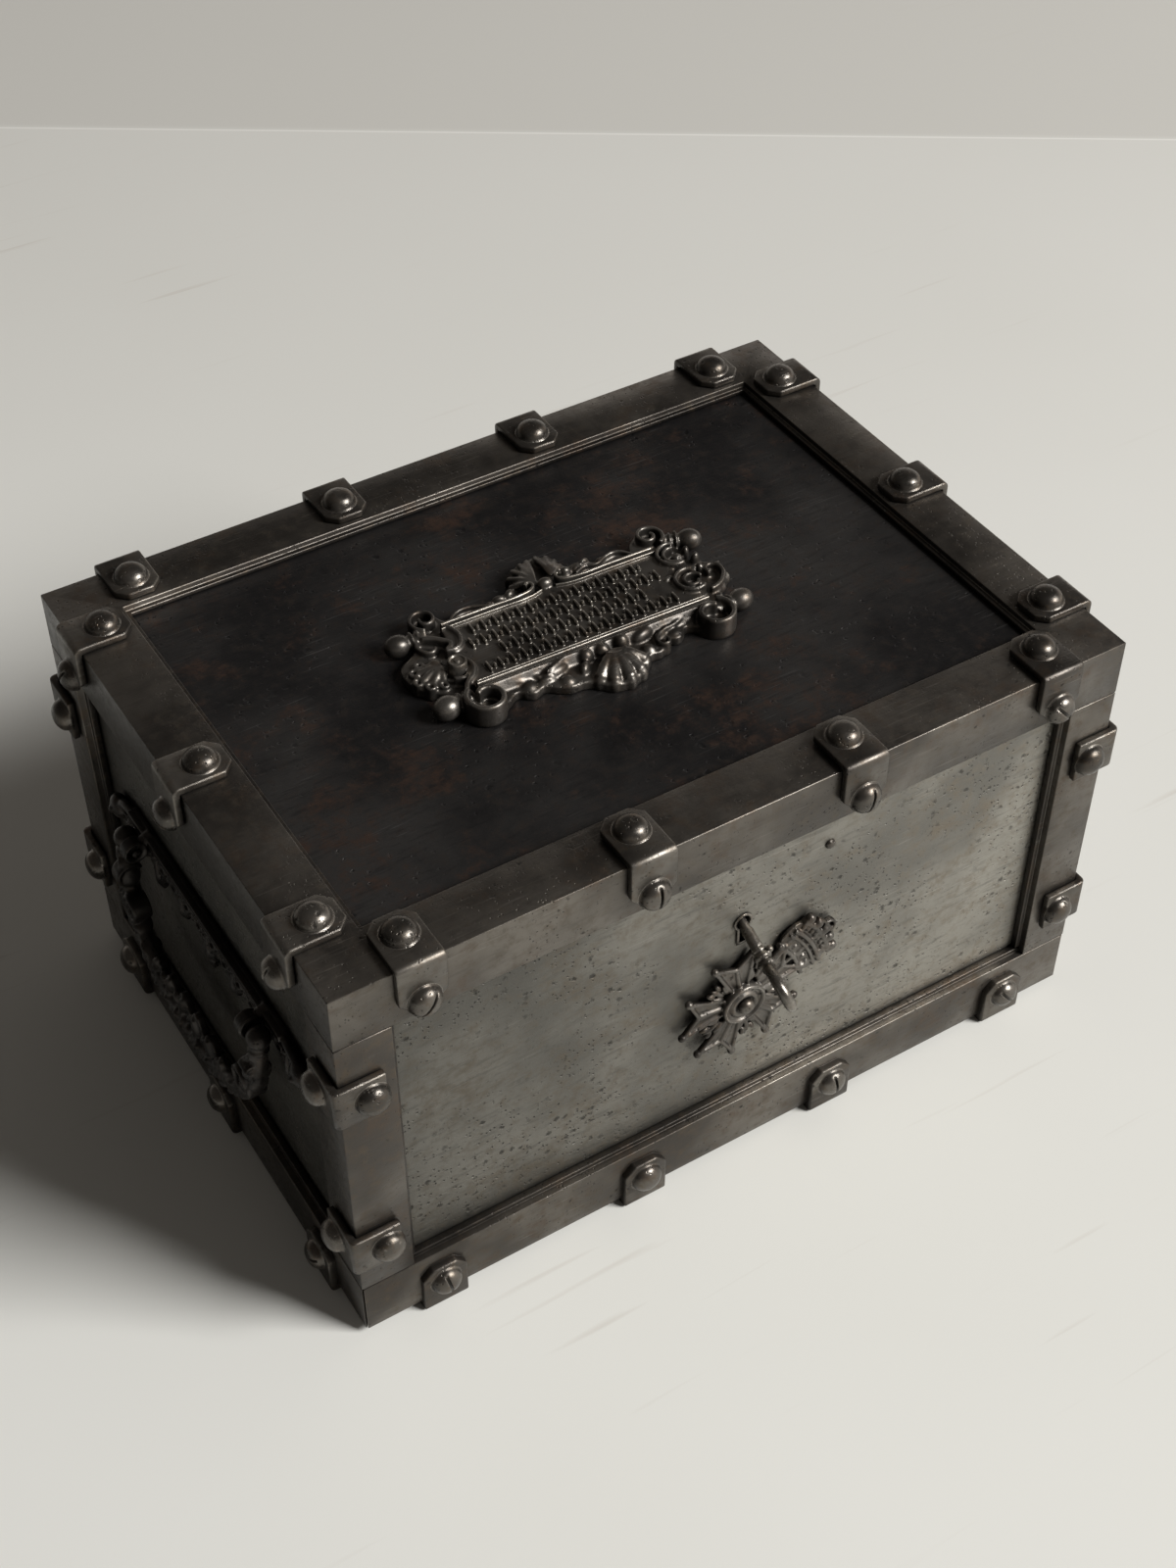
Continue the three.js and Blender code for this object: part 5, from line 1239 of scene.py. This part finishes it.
drift = floorNode("ShaderNodeTexNoise", ("Vector", floorSpot), Scale=3.0, Detail=3).outputs[0]
streaks = floorNode("ShaderNodeMapping", ("Vector", floorSpot), Rotation=(0, 0, 0.7), Scale=(8, 170, 1))
streaks = floorNode("ShaderNodeTexNoise", ("Vector", streaks.outputs[0]), Scale=1.0, Detail=2)
scuffs = floorMaths("MULTIPLY", floorRange(streaks.outputs[0], 0.66, 0.76, 0, 1),
                    floorRange(drift, 0.48, 0.60, 0, floorLook["scuffShare"]))
# painted shade: as the camera sees it, the floor nearest the lamp is painted darker, holding down the lamp's light
# there
toLamp = floorNode("ShaderNodeVectorMath", (0, floorSpot), (1, (*lampLook["toward"], 0)), operation="DOT_PRODUCT")
paintedLampShade = floorRange(toLamp.outputs["Value"], floorLook["lampFrom"], floorLook["lampTo"], 0, floorLook["lampShare"])
paintedLampShade = floorMaths("MULTIPLY", paintedLampShade, floorNode("ShaderNodeLightPath").outputs["Is Camera Ray"])
paint = floorMix(floorRange(drift, 0.35, 0.65, 0, 1), (*floorLook["colour"], 1), "shade")
for share, colour in ((paintedFalloff, "beyond"), (dull, "beyond"), (scuffs, "scuff"), (seam, "seam"), (paintedLampShade, "underLamp")):
    paint = floorMix(share, paint, colour)
floorTree.links.new(paint, shader.inputs["Base Color"])
painted(floor, floorPaint)

raised = math.radians(lampLook["elevation"])
lampSpot = Vector((lampLook["toward"][0] * math.cos(raised), lampLook["toward"][1] * math.cos(raised),
                   math.sin(raised))) * lampLook["away"]
lampAim = (-lampSpot).to_track_quat("-Z", "Y").to_euler()
bpy.ops.object.light_add(type="AREA", location=lampSpot, rotation=lampAim)
lamp = bpy.context.active_object
lamp.name = "window_lamp"
lamp.data.shape = "SQUARE"
lamp.data.size = lampLook["size"]
lamp.data.energy = lampLook["power"]
lamp.data.color = lampLook["colour"]

# the room: pale low down, dark high up, and paler to the right
roomLook = {"low": (0.65, 0.608, 0.56), "high": (0.068, 0.062, 0.056), "seen": (0.66, 0.655, 0.64),
            "from": 0.12, "to": 0.42, "leftShare": 0.05, "rightShare": 1.7}
world = bpy.data.worlds.new("room")
bpy.context.scene.world = world
world.use_nodes = True
room = world.node_tree
room.nodes.clear()


def roomNode(kind, *sources, **values):
    return newNode(room, kind, *sources, **values)


way = roomNode("ShaderNodeSeparateXYZ", (0, roomNode("ShaderNodeTexCoord").outputs["Generated"]))
rise = roomNode("ShaderNodeMapRange", ("Value", way.outputs["Z"]), ("From Min", roomLook["from"]),
                ("From Max", roomLook["to"]), interpolation_type="SMOOTHSTEP")
sideways = roomNode("ShaderNodeMapRange", ("Value", way.outputs["X"]), ("From Min", -1),
                    ("To Min", roomLook["leftShare"]), ("To Max", roomLook["rightShare"]))
lowTone = roomNode("ShaderNodeVectorMath", (0, roomLook["low"]), ("Scale", sideways.outputs[0]), operation="SCALE")
tone = roomNode("ShaderNodeMix", (0, rise.outputs[0]), (6, lowTone.outputs[0]), (7, (*roomLook["high"], 1)),
                data_type="RGBA")
seen = roomNode("ShaderNodeMix", (0, roomNode("ShaderNodeLightPath").outputs["Is Camera Ray"]),
                (6, tone.outputs[2]), (7, (*roomLook["seen"], 1)), data_type="RGBA")
sky = roomNode("ShaderNodeBackground", ("Color", seen.outputs[2]))
roomNode("ShaderNodeOutputWorld", ("Surface", sky.outputs[0]))

cameraLook = {"at": (-265.08, -424.74, 574.84), "toward": (0.37789, 0.60977, -0.69669), "lens": 51.65,
              "sensor": 36, "nearest": 0.02}
aim = Vector(cameraLook["toward"]).to_track_quat("-Z", "Y").to_euler()
bpy.ops.object.camera_add(location=Vector(cameraLook["at"]) * mm, rotation=aim)
camera = bpy.context.active_object
camera.name = "photo_camera"
camera.data.lens = cameraLook["lens"]
camera.data.sensor_width = cameraLook["sensor"]
camera.data.clip_start = cameraLook["nearest"]
bpy.context.scene.camera = camera
bpy.context.scene.view_settings.view_transform = "Standard"
print("floor, light and camera set")
